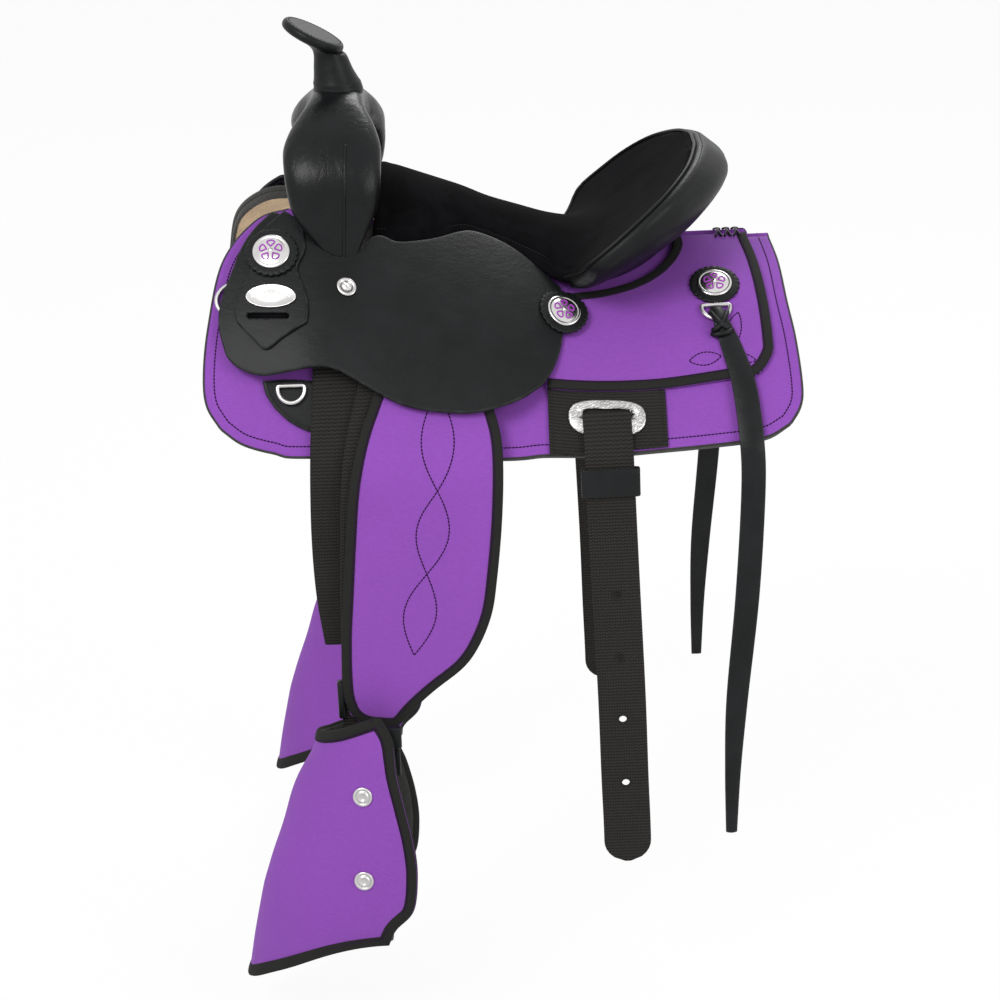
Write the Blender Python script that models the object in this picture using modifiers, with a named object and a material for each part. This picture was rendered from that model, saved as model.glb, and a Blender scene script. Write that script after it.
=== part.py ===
"""An all-around saddle for a young rider: tree, swell, horn, padded seat, skirts, fenders,
hooded stirrups and straps.

Metres, +Z up. +X runs to the tail, -Y is the near (left) side. The origin lies on the centre
plane, on the line where the tail end of the skirts rests on the back.
"""

import math

import bmesh
import bpy
from mathutils import Matrix, Vector

for old in list(bpy.data.objects):
    bpy.data.objects.remove(old)

MM = 0.001

# The back that the saddle is shaped to
BACK_ROUND = 360 * MM
WITHERS_ROUND = 90 * MM
WITHERS_RISE = 88 * MM
BACK_SLOPE = 16
WITHERS_SLOPE = 14
WITHERS_X = -260 * MM
WITHERS_RUN = 380 * MM

# Layers, from the lining outwards
FIT = 0.3 * MM
LAYER_GAP = 0.7 * MM
LINING_T = 6.3 * MM
SKIRT_T = 4.7 * MM
PLATE_T = 2.5 * MM
REAR_JOCKEY_T = 4.0 * MM
JOCKEY_T = 4.0 * MM
JOCKEY_BULGE = 15.5 * MM
SEAT_T = 8.0 * MM
GROUND_SEAT_T = 4.0 * MM
SEAT_GAP = 1.45 * MM
RIM_GAP = 0.8 * MM
COVER_T = 2.5 * MM
STRAP_T = 3.0 * MM
FENDER_GAP = 0.95 * MM

SKIRT_LIFT = LINING_T + LAYER_GAP
SKIRT_TOP = SKIRT_LIFT + SKIRT_T
ON_SKIRT = SKIRT_TOP + LAYER_GAP
PLATE_TOP = ON_SKIRT + PLATE_T
REAR_JOCKEY_TOP = ON_SKIRT + REAR_JOCKEY_T
JOCKEY_LIFT = REAR_JOCKEY_TOP + LAYER_GAP

# Tree
BAR_EDGE_T = 5.0 * MM
BAR_T = 6.6 * MM
BAR_STIRRUP_T = 1.0 * MM
BAR_FRONT_T = 5.3 * MM

# Horn
HORN_CAP_D = 61 * MM
HORN_CAP_T = 10 * MM
HORN_TILT = 28
HORN_CAP_X = -152 * MM
HORN_CAP_UP = 152.4 * MM
HORN_FOOT_X = -134 * MM
HORN_FOOT_UP = 96.4 * MM
HORN_OVERHANG = 12 * MM
POST_D = 16 * MM
POST_DEPTH = 20 * MM

# Fittings
CONCHO_D = 32 * MM
CONCHO_T = 2.6 * MM
CONCHO_DOME = 2.6 * MM
ROSETTE_D = 46 * MM
ROSETTE_T = 2.2 * MM
ROSETTE_SCALLOPS = 16
DEE_WIRE = 4.0 * MM
OVAL_L = 70 * MM
OVAL_W = 34 * MM
OVAL_T = 1.6 * MM
BADGE_L = 44 * MM
BADGE_W = 21 * MM
BADGE_T = 1.2 * MM
FERRULE_D = 17 * MM
SCREW_D = 9 * MM
SCREW_L = 9 * MM
SLOT_W = 5 * MM

# Straps
LEATHER_W = 50 * MM
LATIGO_W = 44 * MM
BILLET_W = 42 * MM
BILLET_HOLE_D = 8 * MM
TIE_W = 22 * MM
TIE_TOP_W = 12 * MM
KEEPER_T = 3.0 * MM
KEEPER_H = 26 * MM
KEEPER_FIT = 1.0 * MM

# Stirrup and hood
STIRRUP_HALF_W = 47 * MM
STIRRUP_TOP_HALF_W = 27 * MM
STIRRUP_T = 8 * MM
TREAD_DEPTH = 42 * MM
STIRRUP_BOLT = Vector((-135 * MM, 226 * MM, -390 * MM))
HOOD_SOLE_Z = -582 * MM
HOOD_T = 3.0 * MM
TREAD_Z = HOOD_SOLE_Z + HOOD_T + FIT + STIRRUP_T

NEAR, OFF = -1, 1
SIDES = ((NEAR, "left"), (OFF, "right"))

saddle = bpy.data.collections.new("all_around_saddle")
bpy.context.scene.collection.children.link(saddle)
cutters = bpy.data.collections.new("cutters")
bpy.context.scene.collection.children.link(cutters)


def leather(name, colour, roughness=0.6, metallic=0.0):
    material = bpy.data.materials.new(name)
    material.use_nodes = True
    shader = material.node_tree.nodes["Principled BSDF"]
    shader.inputs["Base Color"].default_value = (*colour, 1)
    shader.inputs["Roughness"].default_value = roughness
    shader.inputs["Metallic"].default_value = metallic
    return material


BLACK = leather("black_leather", (0.02, 0.02, 0.022), 0.45)
SUEDE = leather("black_suede", (0.03, 0.03, 0.034), 0.95)
PURPLE = leather("purple_cordura", (0.115, 0.065, 0.235), 0.85)
TAN = leather("tan_fleece", (0.52, 0.42, 0.27), 0.95)
WEB = leather("black_webbing", (0.03, 0.03, 0.03), 0.8)
SILVER = leather("silver_plate", (0.78, 0.78, 0.76), 0.25, 1.0)
STEEL = leather("steel", (0.5, 0.5, 0.5), 0.35, 1.0)
TREE = leather("tree_shell", (0.62, 0.5, 0.33), 0.6)


def mesh_object(name, bm, material):
    mesh = bpy.data.meshes.new(name)
    bm.to_mesh(mesh)
    bm.free()
    made = bpy.data.objects.new(name, mesh)
    saddle.objects.link(made)
    mesh.materials.append(material)
    return made


def as_cutter(made):
    saddle.objects.unlink(made)
    cutters.objects.link(made)
    made.hide_render = True
    made.display_type = "WIRE"
    return made


def cut(made, cutter, operation="DIFFERENCE"):
    boolean = made.modifiers.new("cut", "BOOLEAN")
    boolean.operation = operation
    boolean.solver = "EXACT"
    boolean.object = cutter


def thicken(made, thickness, offset=1):
    shell = made.modifiers.new("thickness", "SOLIDIFY")
    shell.thickness = thickness
    shell.offset = offset


def smoothed(t):
    t = min(1.0, max(0.0, t))
    return t * t * (3 - 2 * t)


# Draping


def on_back(x, s):
    """The point of the back at station x, a length s down from the spine, near side."""
    front = 1 - smoothed((x - WITHERS_X) / WITHERS_RUN)
    slope = math.radians(BACK_SLOPE + WITHERS_SLOPE * front)
    radius = BACK_ROUND + WITHERS_ROUND * front
    turn = slope + s / radius
    return Vector(
        (
            x,
            -(math.sin(turn) - math.sin(slope)) * radius,
            WITHERS_RISE * front - (math.cos(slope) - math.cos(turn)) * radius,
        )
    )


def crest(x):
    """The height of the back's crest at station x."""
    return on_back(x, 0).z


def back_frame(x, s, lift, side=NEAR):
    """A matrix at that point, lifted: its X runs to the tail, its Z out of the back."""
    step = 0.5 * MM
    along = (on_back(x + step, s) - on_back(x - step, s)).normalized()
    down = (on_back(x, s + step) - on_back(x, s - step)).normalized()
    out = down.cross(along).normalized()
    if out.y > 0:
        out = -out
    place = on_back(x, s) + out * lift
    if side == OFF:
        place.y, out.y, along.y = -place.y, -out.y, -along.y
    across = out.cross(along)
    frame = Matrix((along, across, out)).transposed().to_4x4()
    frame.translation = place
    return frame


def drape(x, s, lift, side=NEAR):
    return back_frame(x, s, lift, side).translation


def on_layer(rings, x, s, lift, side):
    """Rings of a small flat piece laid on a layer, so that it bends with what is under it."""
    return [
        [drape(x + p.x, s + p.y, lift(x + p.x) + p.z, side) for p in ring] for ring in rings
    ]


def curve_through(points, count):
    """count + 1 points evenly spaced along a smooth curve through the points."""
    points = [Vector(p) for p in points]
    if len(points) == 2:
        return [points[0].lerp(points[1], i / count) for i in range(count + 1)]
    ends = [2 * points[0] - points[1], *points, 2 * points[-1] - points[-2]]
    fine = []
    for i in range(1, len(ends) - 2):
        a, b, c, d = ends[i - 1 : i + 3]
        for step in range(12):
            t = step / 12
            fine.append(
                0.5
                * (
                    2 * b
                    + (c - a) * t
                    + (2 * a - 5 * b + 4 * c - d) * t * t
                    + (3 * b - a - 3 * c + d) * t * t * t
                )
            )
    fine.append(points[-1])
    run = [0.0]
    for a, b in zip(fine, fine[1:]):
        run.append(run[-1] + (b - a).length)
    out = []
    at = 0
    for i in range(count + 1):
        want = run[-1] * i / count
        while at < len(run) - 2 and run[at + 1] < want:
            at += 1
        span = run[at + 1] - run[at]
        out.append(fine[at].lerp(fine[at + 1], (want - run[at]) / span))
    return out


def patch(top, rear, bottom, front, cells):
    """A grid of points inside four edges. Top and bottom run to the tail, the others down."""
    nu, nv = cells
    top, bottom = curve_through(top, nu), curve_through(bottom, nu)
    front, rear = curve_through(front, nv), curve_through(rear, nv)
    rows = []
    for j in range(nv + 1):
        v = j / nv
        row = []
        for i in range(nu + 1):
            u = i / nu
            corners = (1 - v) * ((1 - u) * top[0] + u * top[-1]) + v * (
                (1 - u) * bottom[0] + u * bottom[-1]
            )
            row.append(
                (1 - v) * top[i] + v * bottom[i] + (1 - u) * front[j] + u * rear[j] - corners
            )
        rows.append(row)
    return rows


def grid_object(name, rows, material, flip, skip=()):
    """Quads between the rows of points. skip names cells left open."""
    bm = bmesh.new()
    verts = [[bm.verts.new(p) for p in row] for row in rows]
    for j in range(len(rows) - 1):
        for i in range(len(rows[0]) - 1):
            if (i, j) in skip:
                continue
            face = [verts[j][i], verts[j + 1][i], verts[j + 1][i + 1], verts[j][i + 1]]
            bm.faces.new(face[::-1] if flip else face)
    bmesh.ops.delete(bm, geom=[v for v in bm.verts if not v.link_faces], context="VERTS")
    return mesh_object(name, bm, material)


def draped_sheet(name, side, edges, cells, lift, thickness, material):
    """A sheet that follows the back. The edges are in mm: x, then length down from the spine."""
    edges = [[Vector(p) * MM for p in edge] for edge in edges]
    rows = [
        [drape(p.x, p.y, lift(p.x) if callable(lift) else lift, side) for p in row]
        for row in patch(*edges, cells)
    ]
    made = grid_object(name, rows, material, side == OFF)
    thicken(made, thickness)
    return made


def ring_object(name, rings, material, closed=False, strip=False):
    """A loft through rings of points. A strip's ends are closed across, point to point."""
    bm = bmesh.new()
    verts = [[bm.verts.new(p) for p in ring] for ring in rings]
    count = len(rings[0])
    spans = list(zip(verts, verts[1:] + verts[:1])) if closed else list(zip(verts, verts[1:]))
    for a, b in spans:
        for i in range(count):
            k = (i + 1) % count
            bm.faces.new((a[i], a[k], b[k], b[i]))
    if strip:
        for end in (verts[0][::-1], verts[-1]):
            for i in range(count // 2 - 1):
                bm.faces.new((end[i], end[i + 1], end[count - 2 - i], end[count - 1 - i]))
    elif not closed:
        bm.faces.new(verts[0][::-1])
        bm.faces.new(verts[-1])
    bmesh.ops.recalc_face_normals(bm, faces=bm.faces)
    return mesh_object(name, bm, material)


def disc_rings(radius, profile, count, scallop=0.0, lobes=0):
    """Rings of a turned piece about Z from (radius share, height) pairs."""
    rings = []
    for share, height in profile:
        ring = []
        for i in range(count):
            turn = 2 * math.pi * i / count
            edge = 1 + scallop * math.cos(lobes * turn)
            r = radius * share * edge
            ring.append(Vector((r * math.cos(turn), r * math.sin(turn), height)))
        rings.append(ring)
    return rings


def placed(rings, frame):
    return [[frame @ p for p in ring] for ring in rings]


def box_cutter(name, frame, size):
    bm = bmesh.new()
    bmesh.ops.create_cube(bm, size=1, matrix=frame @ Matrix.Diagonal((*size, 1)))
    return as_cutter(mesh_object(name, bm, STEEL))


def round_cutter(name, frame, diameter, depth):
    bm = bmesh.new()
    bmesh.ops.create_cone(
        bm, cap_ends=True, segments=16, radius1=diameter / 2, radius2=diameter / 2,
        depth=depth, matrix=frame,
    )
    return as_cutter(mesh_object(name, bm, STEEL))


# Skirts and lining

SKIRT_EDGES = (
    [(-185, 45), (-120, 38), (-40, 32), (40, 26), (100, 16), (140, 6), (168, 3), (261, 3)],
    [(261, 3), (266, 42), (269, 94), (273, 136), (275, 185), (272, 205), (262, 221)],
    [(-246, 265), (-227, 278), (-199, 284), (-166, 284), (3, 256), (47, 247), (122, 242),
     (190, 238), (238, 233), (262, 221)],
    [(-185, 45), (-213, 62), (-242, 107), (-255, 169), (-260, 215), (-258, 244), (-246, 265)],
)
LINING_INSET = 4
SKIRT_CELLS = (19, 9)


def inset(edges, by):
    """The same four edges drawn in by a few mm, away from the spine too."""
    top, rear, bottom, front = edges
    return (
        [(x, s + by) for x, s in top[:1]] + [(x, s + by) for x, s in top[1:-1]]
        + [(top[-1][0] - by, top[-1][1] + by)],
        [(rear[0][0] - by, rear[0][1] + by)] + [(x - by, s) for x, s in rear[1:-1]]
        + [(rear[-1][0] - by, rear[-1][1] - by)],
        [(bottom[0][0] + by, bottom[0][1] - by)] + [(x, s - by) for x, s in bottom[1:-1]]
        + [(bottom[-1][0] - by, bottom[-1][1] - by)],
        [(front[0][0], front[0][1] + by)] + [(x + by, s) for x, s in front[1:-1]]
        + [(front[-1][0] + by, front[-1][1] - by)],
    )


for side, word in SIDES:
    draped_sheet(f"skirt_{word}", side, SKIRT_EDGES, SKIRT_CELLS, SKIRT_LIFT, SKIRT_T, PURPLE)
    draped_sheet(
        f"lining_{word}", side, inset(SKIRT_EDGES, LINING_INSET), SKIRT_CELLS, 0, LINING_T, TAN
    )

# Tree bars

BAR_EDGES = (
    [(-168, 62), (-100, 48), (-20, 38), (40, 30), (100, 20), (138, 14)],
    [(138, 14), (138, 27)],
    [(-168, 104), (-120, 110), (-60, 98), (-20, 78), (20, 60), (60, 54), (100, 46), (138, 27)],
    [(-168, 62), (-168, 104)],
)


def bar_thickness(x, across):
    fork = 1 - smoothed((x / MM + 150) / 30)
    leather = 1 - smoothed((x / MM + 50) / 40)
    full = BAR_T + BAR_FRONT_T * fork + BAR_STIRRUP_T * leather
    return BAR_EDGE_T + (full - BAR_EDGE_T) * min(1.0, 2.5 * across)


def tree_bar(side, word):
    edges = [[Vector(p) * MM for p in edge] for edge in BAR_EDGES]
    rows = patch(*edges, (14, 4))
    rings = []
    for i in range(15):
        under = [drape(row[i].x, row[i].y, ON_SKIRT, side) for row in rows]
        over = [
            drape(row[i].x, row[i].y, ON_SKIRT + bar_thickness(row[i].x, j / 4), side)
            for j, row in enumerate(rows)
        ]
        rings.append(under + over[::-1])
    return ring_object(f"tree_bar_{word}", rings, TREE, strip=True)


for side, word in SIDES:
    tree_bar(side, word)


def bar_bed(name):
    """What the bars take up, with clearance, to cut out of what sits on them."""
    rings = []
    for k in range(-18, -7):
        x = k * 10 * MM
        row = []
        for s in range(-120, 121, 15):
            side = NEAR if s <= 0 else OFF
            lift = ON_SKIRT + bar_thickness(x, 1) + 3 * FIT
            row.append((drape(x, abs(s) * MM, lift, side), drape(x, abs(s) * MM, -60 * MM, side)))
        rings.append([p[0] for p in row] + [p[1] for p in row[::-1]])
    return as_cutter(ring_object(name, rings, TREE, strip=True))


# Swell: stations up one side of the arch, each an outer and an inner point in y, z above the
# crest, and how far the section reaches forward and back

SWELL = (
    (112, -46.5, 97, -33.5, -141, -123),
    (110, -30, 88, -16.5, -153, -116),
    (108, -14.5, 80, -4.5, -166, -108),
    (107, 5.5, 76, 9.5, -177, -100),
    (105, 27, 71, 26, -181, -96),
    (97, 47, 61, 40, -183, -95),
    (81, 66, 48, 50, -183, -95),
    (59, 83, 32, 57.5, -176, -100),
    (33, 97, 15, 61.5, -165, -108),
    (0, 103, 0, 63.5, -160, -110),
)
SWELL_X = -138 * MM
SWELL_BASE = crest(SWELL_X)
HORN_CAP = Vector((HORN_CAP_X, 0, SWELL_BASE + HORN_CAP_UP))
HORN_FOOT = Vector((HORN_FOOT_X, 0, SWELL_BASE + HORN_FOOT_UP))


def swell_arch(name, inset_by, material, longer=0.0):
    near = [tuple(v * MM for v in s) for s in SWELL]
    whole = [(-a, b, -c, d, e, f) for a, b, c, d, e, f in near]
    whole += [(a, b, c, d, e, f) for a, b, c, d, e, f in near[-2::-1]]
    rings = []
    for a, b, c, d, e, f in whole:
        outer, inner = Vector((0, a, SWELL_BASE + b)), Vector((0, c, SWELL_BASE + d))
        mid = (outer + inner) / 2
        half = (outer - inner) / 2
        half_l = (f - e) / 2 - inset_by
        half_h = half.length - inset_by
        axis = half.normalized()
        ring = []
        for i in range(16):
            turn = 2 * math.pi * i / 16
            cx, cy = math.cos(turn), math.sin(turn)
            cx = math.copysign(abs(cx) ** 0.72, cx)
            cy = math.copysign(abs(cy) ** 0.72, cy)
            ring.append(mid + axis * half_h * cy + Vector(((e + f) / 2 + half_l * cx, 0, 0)))
        rings.append(ring)
    if longer:
        for end, beside in ((0, 1), (-1, -2)):
            away = (rings[end][0] - rings[beside][0]).normalized() * longer
            ring = [p + away for p in rings[end]]
            rings.insert(0, ring) if end == 0 else rings.append(ring)
    return ring_object(name, rings, material)


bed = bar_bed("bar_bed")
swell_outer_cut = as_cutter(swell_arch("swell_clearance", -FIT - 0.3 * MM, BLACK))
swell_inner_cut = as_cutter(swell_arch("swell_hollow", COVER_T, BLACK, 12 * MM))

cap_up = Vector((math.sin(math.radians(HORN_TILT)), 0, math.cos(math.radians(HORN_TILT))))


def frame_on(place, up):
    along = Vector((0, 1, 0)).cross(up).normalized()
    across = up.cross(along)
    frame = Matrix((along, across, up)).transposed().to_4x4()
    frame.translation = place
    return frame


cap_under = HORN_CAP - cap_up * HORN_CAP_T
cap_rearward = Vector((cap_up.z, 0, -cap_up.x))
post_foot = HORN_FOOT - Vector((0, 0, POST_DEPTH))
post_top = cap_under + cap_rearward * HORN_OVERHANG + cap_up * 5 * MM
post_length = (post_top - post_foot).length
post_axis = (post_top - post_foot).normalized()
post_bore = round_cutter(
    "post_bore", frame_on((post_foot + post_top) / 2, post_axis), POST_D + 2 * FIT,
    post_length + 2 * FIT,
)

cover = swell_arch("swell_cover", 0, BLACK)
cut(cover, swell_inner_cut)
cut(cover, bed)
cut(cover, post_bore)

fork = swell_arch("tree_fork", COVER_T + 3 * FIT, TREE)
cut(fork, bed)
cut(fork, post_bore)

# Horn

post = ring_object(
    "horn_post",
    placed(
        disc_rings(POST_D / 2, ((1, -post_length / 2), (1, post_length / 2)), 20),
        frame_on((post_foot + post_top) / 2, post_axis),
    ),
    STEEL,
)

# The neck under the cap: station, height above the crest, radius, share of the cap's tilt

NECK = (
    (-133, 91, 24.5, 0.0), (-133.5, 100, 23, 0.0), (-137, 117.5, 18, 0.1), (-140, 133, 15.8, 0.4),
)
NECK_TOP_R = 21 * MM
NECK_OFFSET = 8 * MM

neck_rings = []
for x, above, radius, tilt in NECK:
    up = Vector((0, 0, 1)).lerp(cap_up, tilt).normalized()
    middle = Vector((x * MM, 0, SWELL_BASE + above * MM))
    neck_rings += placed(disc_rings(radius * MM, ((1, 0),), 24), frame_on(middle, up))
neck_rings += placed(
    disc_rings(NECK_TOP_R, ((1, 0),), 24),
    frame_on(cap_under + cap_rearward * NECK_OFFSET - cap_up * FIT, cap_up),
)
neck = ring_object("horn_neck_wrap", neck_rings, BLACK)
cut(neck, swell_outer_cut)
cut(neck, post_bore)

cap = ring_object(
    "horn_cap",
    placed(
        disc_rings(
            HORN_CAP_D / 2,
            ((0.62, -HORN_CAP_T), (0.95, -HORN_CAP_T * 0.8), (1, -HORN_CAP_T * 0.5),
             (0.98, -HORN_CAP_T * 0.15), (0.93, 0)),
            28,
        ),
        frame_on(HORN_CAP, cap_up),
    ),
    BLACK,
)
cut(cap, post_bore)

# Seat: the centre line, and the stitched edge on the off side. Heights are above the crest.

SEAT_MIDDLE = [
    (-88, 42), (-52, 40), (-24, 39.5), (0, 36), (28, 34), (58, 30.5), (84, 30), (104, 35.5),
    (118, 43), (134, 54), (150, 67), (165, 81), (178, 94), (189, 105),
]
SEAT_EDGE = [
    (-98, 87, -14.5), (-53, 74, -2), (-25, 55, 9.5), (-9, 54, 13), (12, 59, 13), (39, 71, 8),
    (64, 90, 1), (78, 115, 13.5), (89, 137, 28), (111, 140, 46), (135, 133, 65), (159, 114, 82),
    (176, 78, 95), (188, 30, 104),
]
SEAT_ROWS = len(SEAT_EDGE)
SEAT_CELLS = 14


def seat_point(k, v):
    """The seat's top at row k, v from -1 at the near edge to 1 at the off edge."""
    xc, zc = SEAT_MIDDLE[k]
    xe, ye, ze = SEAT_EDGE[k]
    base = Vector((0, 0, crest(xc * MM)))
    return base + Vector(
        (xc + (xe - xc) * v * v, ye * v, zc + (ze - zc) * abs(v) ** 2.2)
    ) * MM


def seat_normal(k, v):
    a, b = max(k - 1, 0), min(k + 1, SEAT_ROWS - 1)
    along = seat_point(b, v) - seat_point(a, v)
    across = seat_point(k, min(v + 0.05, 1)) - seat_point(k, max(v - 0.05, -1))
    return along.cross(across).normalized()


def seat_layer(name, above, thickness, material, rows, margin=0, larger=0.0, tuck=0.0):
    """A layer of the seat that lies so far under its top, so many cells in from the edge.

    The last row and the edges reach out by larger, and their underside draws in by tuck.
    """
    top, low = [], []
    for k in rows:
        top_row, low_row = [], []
        for i in range(margin, SEAT_CELLS + 1 - margin):
            v = 2 * i / SEAT_CELLS - 1
            normal = seat_normal(k, v)
            place = seat_point(k, v)
            outward = Vector((0, 0, 0))
            if k == SEAT_ROWS - 1:
                outward += (place - seat_point(k - 1, v)).normalized()
            if abs(v) == 1:
                outward += (place - seat_point(k, v * 0.9)).normalized()
            place += outward * larger
            top_row.append(place - normal * above)
            low_row.append(place - normal * (above + thickness) - outward * tuck)
        top.append(top_row)
        low.append(low_row)
    rings = [upper + lower[::-1] for upper, lower in zip(top, low)]
    return ring_object(name, rings, material, strip=True)


seat_layer("seat_pad", 0, SEAT_T, SUEDE, range(SEAT_ROWS), tuck=2 * MM)
seat_layer("ground_seat", SEAT_T + SEAT_GAP, GROUND_SEAT_T, TREE, range(1, SEAT_ROWS - 1), 1)
seat_clearance = as_cutter(
    seat_layer(
        "seat_clearance", -24 * MM, SEAT_T + GROUND_SEAT_T + 24 * MM + 2 * SEAT_GAP, SUEDE,
        range(SEAT_ROWS), larger=RIM_GAP,
    )
)

# Cantle: rim, crown of the roll and back on the off side from the front to the centre, and
# where the foot stands on the rear jockey, as station and length down from the spine. Each
# row belongs to the seat row that its rim meets, and stands on the same height of the crest.

CANTLE = (
    ((66, 92, 0), (70, 98, -3), (73, 95, -9), (74, 68)),
    ((78, 116, 12.5), (83, 121, 7.5), (88, 110, -4), (85, 68)),
    ((89, 139, 28), (97, 144, 24), (104, 129, 9), (96, 66)),
    ((111, 141, 46), (120, 146, 43), (128, 129, 22), (112, 60)),
    ((135, 134, 65), (145, 139, 62), (154, 120, 36), (129, 51)),
    ((159, 115, 82), (170, 119, 79), (182, 100, 50), (145, 38)),
    ((180, 76, 96), (192, 77, 94), (207, 64, 65), (157, 24)),
    ((190, 31, 104), (204, 32, 101), (220, 27, 72), (163, 11)),
    ((191, 0, 105), (206, 0, 102), (222, 0, 74), (165, 3)),
)
CANTLE_CELLS = 7
CANTLE_SEAT_ROW = 6
CANTLE_FOOT_LIFT = ON_SKIRT + 1.3 * MM


def cantle_sections():
    """Points of the cantle's outside from the rim to the foot, once round."""
    half = []
    for n, (rim, crown, back, (x, s)) in enumerate(CANTLE):
        row = min(CANTLE_SEAT_ROW + n, SEAT_ROWS - 1)
        base = Vector((0, 0, crest(SEAT_MIDDLE[row][0] * MM)))
        rim, crown, back = (base + Vector(p) * MM for p in (rim, crown, back))
        foot = drape(x * MM, s * MM, CANTLE_FOOT_LIFT, OFF)
        if rim.y == 0:
            foot.y = 0
        rim += (crown - rim).normalized() * RIM_GAP
        half.append(curve_through([rim, crown, back, foot], CANTLE_CELLS))
    far = [[Vector((p.x, -p.y, p.z)) for p in section] for section in half[:-1]]
    return half + far[::-1]


def cantle_inset(sections, n, m, by):
    """A point of section n, moved into the cantle."""
    along = sections[min(n + 1, len(sections) - 1)][m] - sections[max(n - 1, 0)][m]
    across = sections[n][min(m + 1, CANTLE_CELLS)] - sections[n][max(m - 1, 0)]
    return sections[n][m] + across.cross(along).normalized() * by


def tree_cantle():
    """The dished wood inside the cantle."""
    sections = cantle_sections()
    rings = []
    for n in range(3, len(sections) - 3):
        skin = [cantle_inset(sections, n, m, COVER_T + LAYER_GAP) for m in range(2, CANTLE_CELLS)]
        rim, foot = sections[n][0], sections[n][-1]
        inward = Vector((-rim.x * 0.6, -rim.y, 0)).normalized()
        rings.append(
            skin
            + [
                foot + inward * 12 * MM + Vector((0, 0, 10 * MM)),
                rim.lerp(foot, 0.5) + inward * 26 * MM,
                rim + inward * 15 * MM + Vector((0, 0, -8 * MM)),
            ]
        )
    made = ring_object("tree_cantle", rings, TREE)
    cut(made, seat_clearance)


cantle_cover = grid_object("cantle_cover", cantle_sections(), BLACK, False)
thicken(cantle_cover, COVER_T, -1)
cut(cantle_cover, seat_clearance)
tree_cantle()

# Jockeys

JOCKEY_EDGES = (
    [(-199, 65), (-183, 72), (-173, 84), (-159, 100), (-148, 106), (-137, 106), (-124, 96),
     (-113, 80), (-104, 76), (-90, 79), (-60, 67), (-32, 49), (-16, 47), (6, 53), (34, 65),
     (60, 82)],
    [(60, 82), (61, 110), (59, 140), (50, 170), (38, 190)],
    [(-238, 202), (-228, 212), (-208, 219), (-184, 215), (-157, 208), (-140, 209), (-120, 217),
     (-100, 225), (-80, 230), (-55, 230), (-20, 225), (14, 210), (38, 190)],
    [(-199, 65), (-212, 80), (-223, 98), (-234, 128), (-243, 155), (-244, 178), (-238, 202)],
)
BULGE_FROM = -255 * MM
BULGE_FULL = -150 * MM
BULGE_ENDS = 0 * MM
BULGE_GONE = 66 * MM


def jockey_lift(x):
    rise = smoothed((x - BULGE_FROM) / (BULGE_FULL - BULGE_FROM))
    fall = smoothed((x - BULGE_ENDS) / (BULGE_GONE - BULGE_ENDS))
    return JOCKEY_LIFT + JOCKEY_BULGE * (rise - fall)


def above_jockey(x):
    return jockey_lift(x) + JOCKEY_T + LAYER_GAP


for side, word in SIDES:
    jockey = draped_sheet(
        f"jockey_{word}", side, JOCKEY_EDGES, (22, 7), jockey_lift, JOCKEY_T, BLACK
    )
    cut(jockey, swell_outer_cut)

# Rear jockeys, with the lacing that joins them over the spine

REAR_JOCKEY_EDGES = (
    [(40, 92), (74, 84), (98, 79), (127, 70), (148, 57), (163, 39), (171, 19), (170, 3)],
    [(170, 3), (190, 3), (215, 3), (239, 3)],
    [(45, 186), (100, 185), (152, 184), (212, 177), (235, 174), (249, 155), (251, 139),
     (250, 96), (246, 48), (239, 3)],
    [(40, 92), (41, 136), (45, 186)],
)


def rear_jockey(side, word):
    """Laid out from the seat end to the outer edge, so the spine is its rear edge."""
    return draped_sheet(
        f"rear_jockey_{word}", side, REAR_JOCKEY_EDGES, (18, 7), ON_SKIRT, REAR_JOCKEY_T, PURPLE
    )


for side, word in SIDES:
    rear_jockey(side, word)

LACING_FROM = 196 * MM
LACING_TO = 236 * MM
LACING_W = 14 * MM
LACING_T = 1.6 * MM

lacing_rows = []
for k in range(5):
    x = LACING_FROM + (LACING_TO - LACING_FROM) * k / 4
    lacing_rows.append(
        [
            drape(x, abs(s) * LACING_W / 2 + 0.1 * MM, REAR_JOCKEY_TOP + FIT, NEAR if s < 0 else OFF)
            for s in (-1, -0.5, 0.5, 1)
        ]
    )
lacing = grid_object("rear_lacing", lacing_rows, BLACK, False)
thicken(lacing, LACING_T)

# Plates on the skirts

FRONT_PLATE_EDGES = (
    [(-207, 222), (-180, 218), (-146, 216)],
    [(-146, 216), (-146, 240), (-146, 262)],
    [(-197, 244), (-185, 254), (-168, 261), (-146, 262)],
    [(-207, 222), (-204, 233), (-197, 244)],
)
REAR_PATCH_EDGES = (
    [(46, 192), (100, 190), (151, 188)],
    [(151, 188), (151, 238)],
    [(46, 248), (100, 241), (151, 238)],
    [(46, 192), (46, 248)],
)
KEEPER_PLATE_EDGES = (
    [(-189, 67), (-181, 73), (-174, 82)],
    [(-174, 82), (-171, 125), (-170, 171)],
    [(-228, 173), (-205, 195), (-170, 171)],
    [(-189, 67), (-205, 100), (-218, 130), (-228, 173)],
)

for side, word in SIDES:
    draped_sheet(
        f"front_rigging_plate_{word}", side, FRONT_PLATE_EDGES, (6, 4), ON_SKIRT, PLATE_T, BLACK
    )
    rear_patch = draped_sheet(
        f"rear_rigging_patch_{word}", side, REAR_PATCH_EDGES, (6, 4), ON_SKIRT, PLATE_T, BLACK
    )
    keeper_plate = draped_sheet(
        f"latigo_keeper_{word}", side, KEEPER_PLATE_EDGES, (5, 8), above_jockey, PLATE_T, BLACK
    )
    keeper_slot = box_cutter(
        f"keeper_slot_{word}",
        back_frame(-201 * MM, 168 * MM, above_jockey(-201 * MM), side),
        (36 * MM, SLOT_W, 30 * MM),
    )
    cut(keeper_plate, keeper_slot)
    cut(keeper_plate, swell_outer_cut)

# Conchos on their scalloped rosettes


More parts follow.
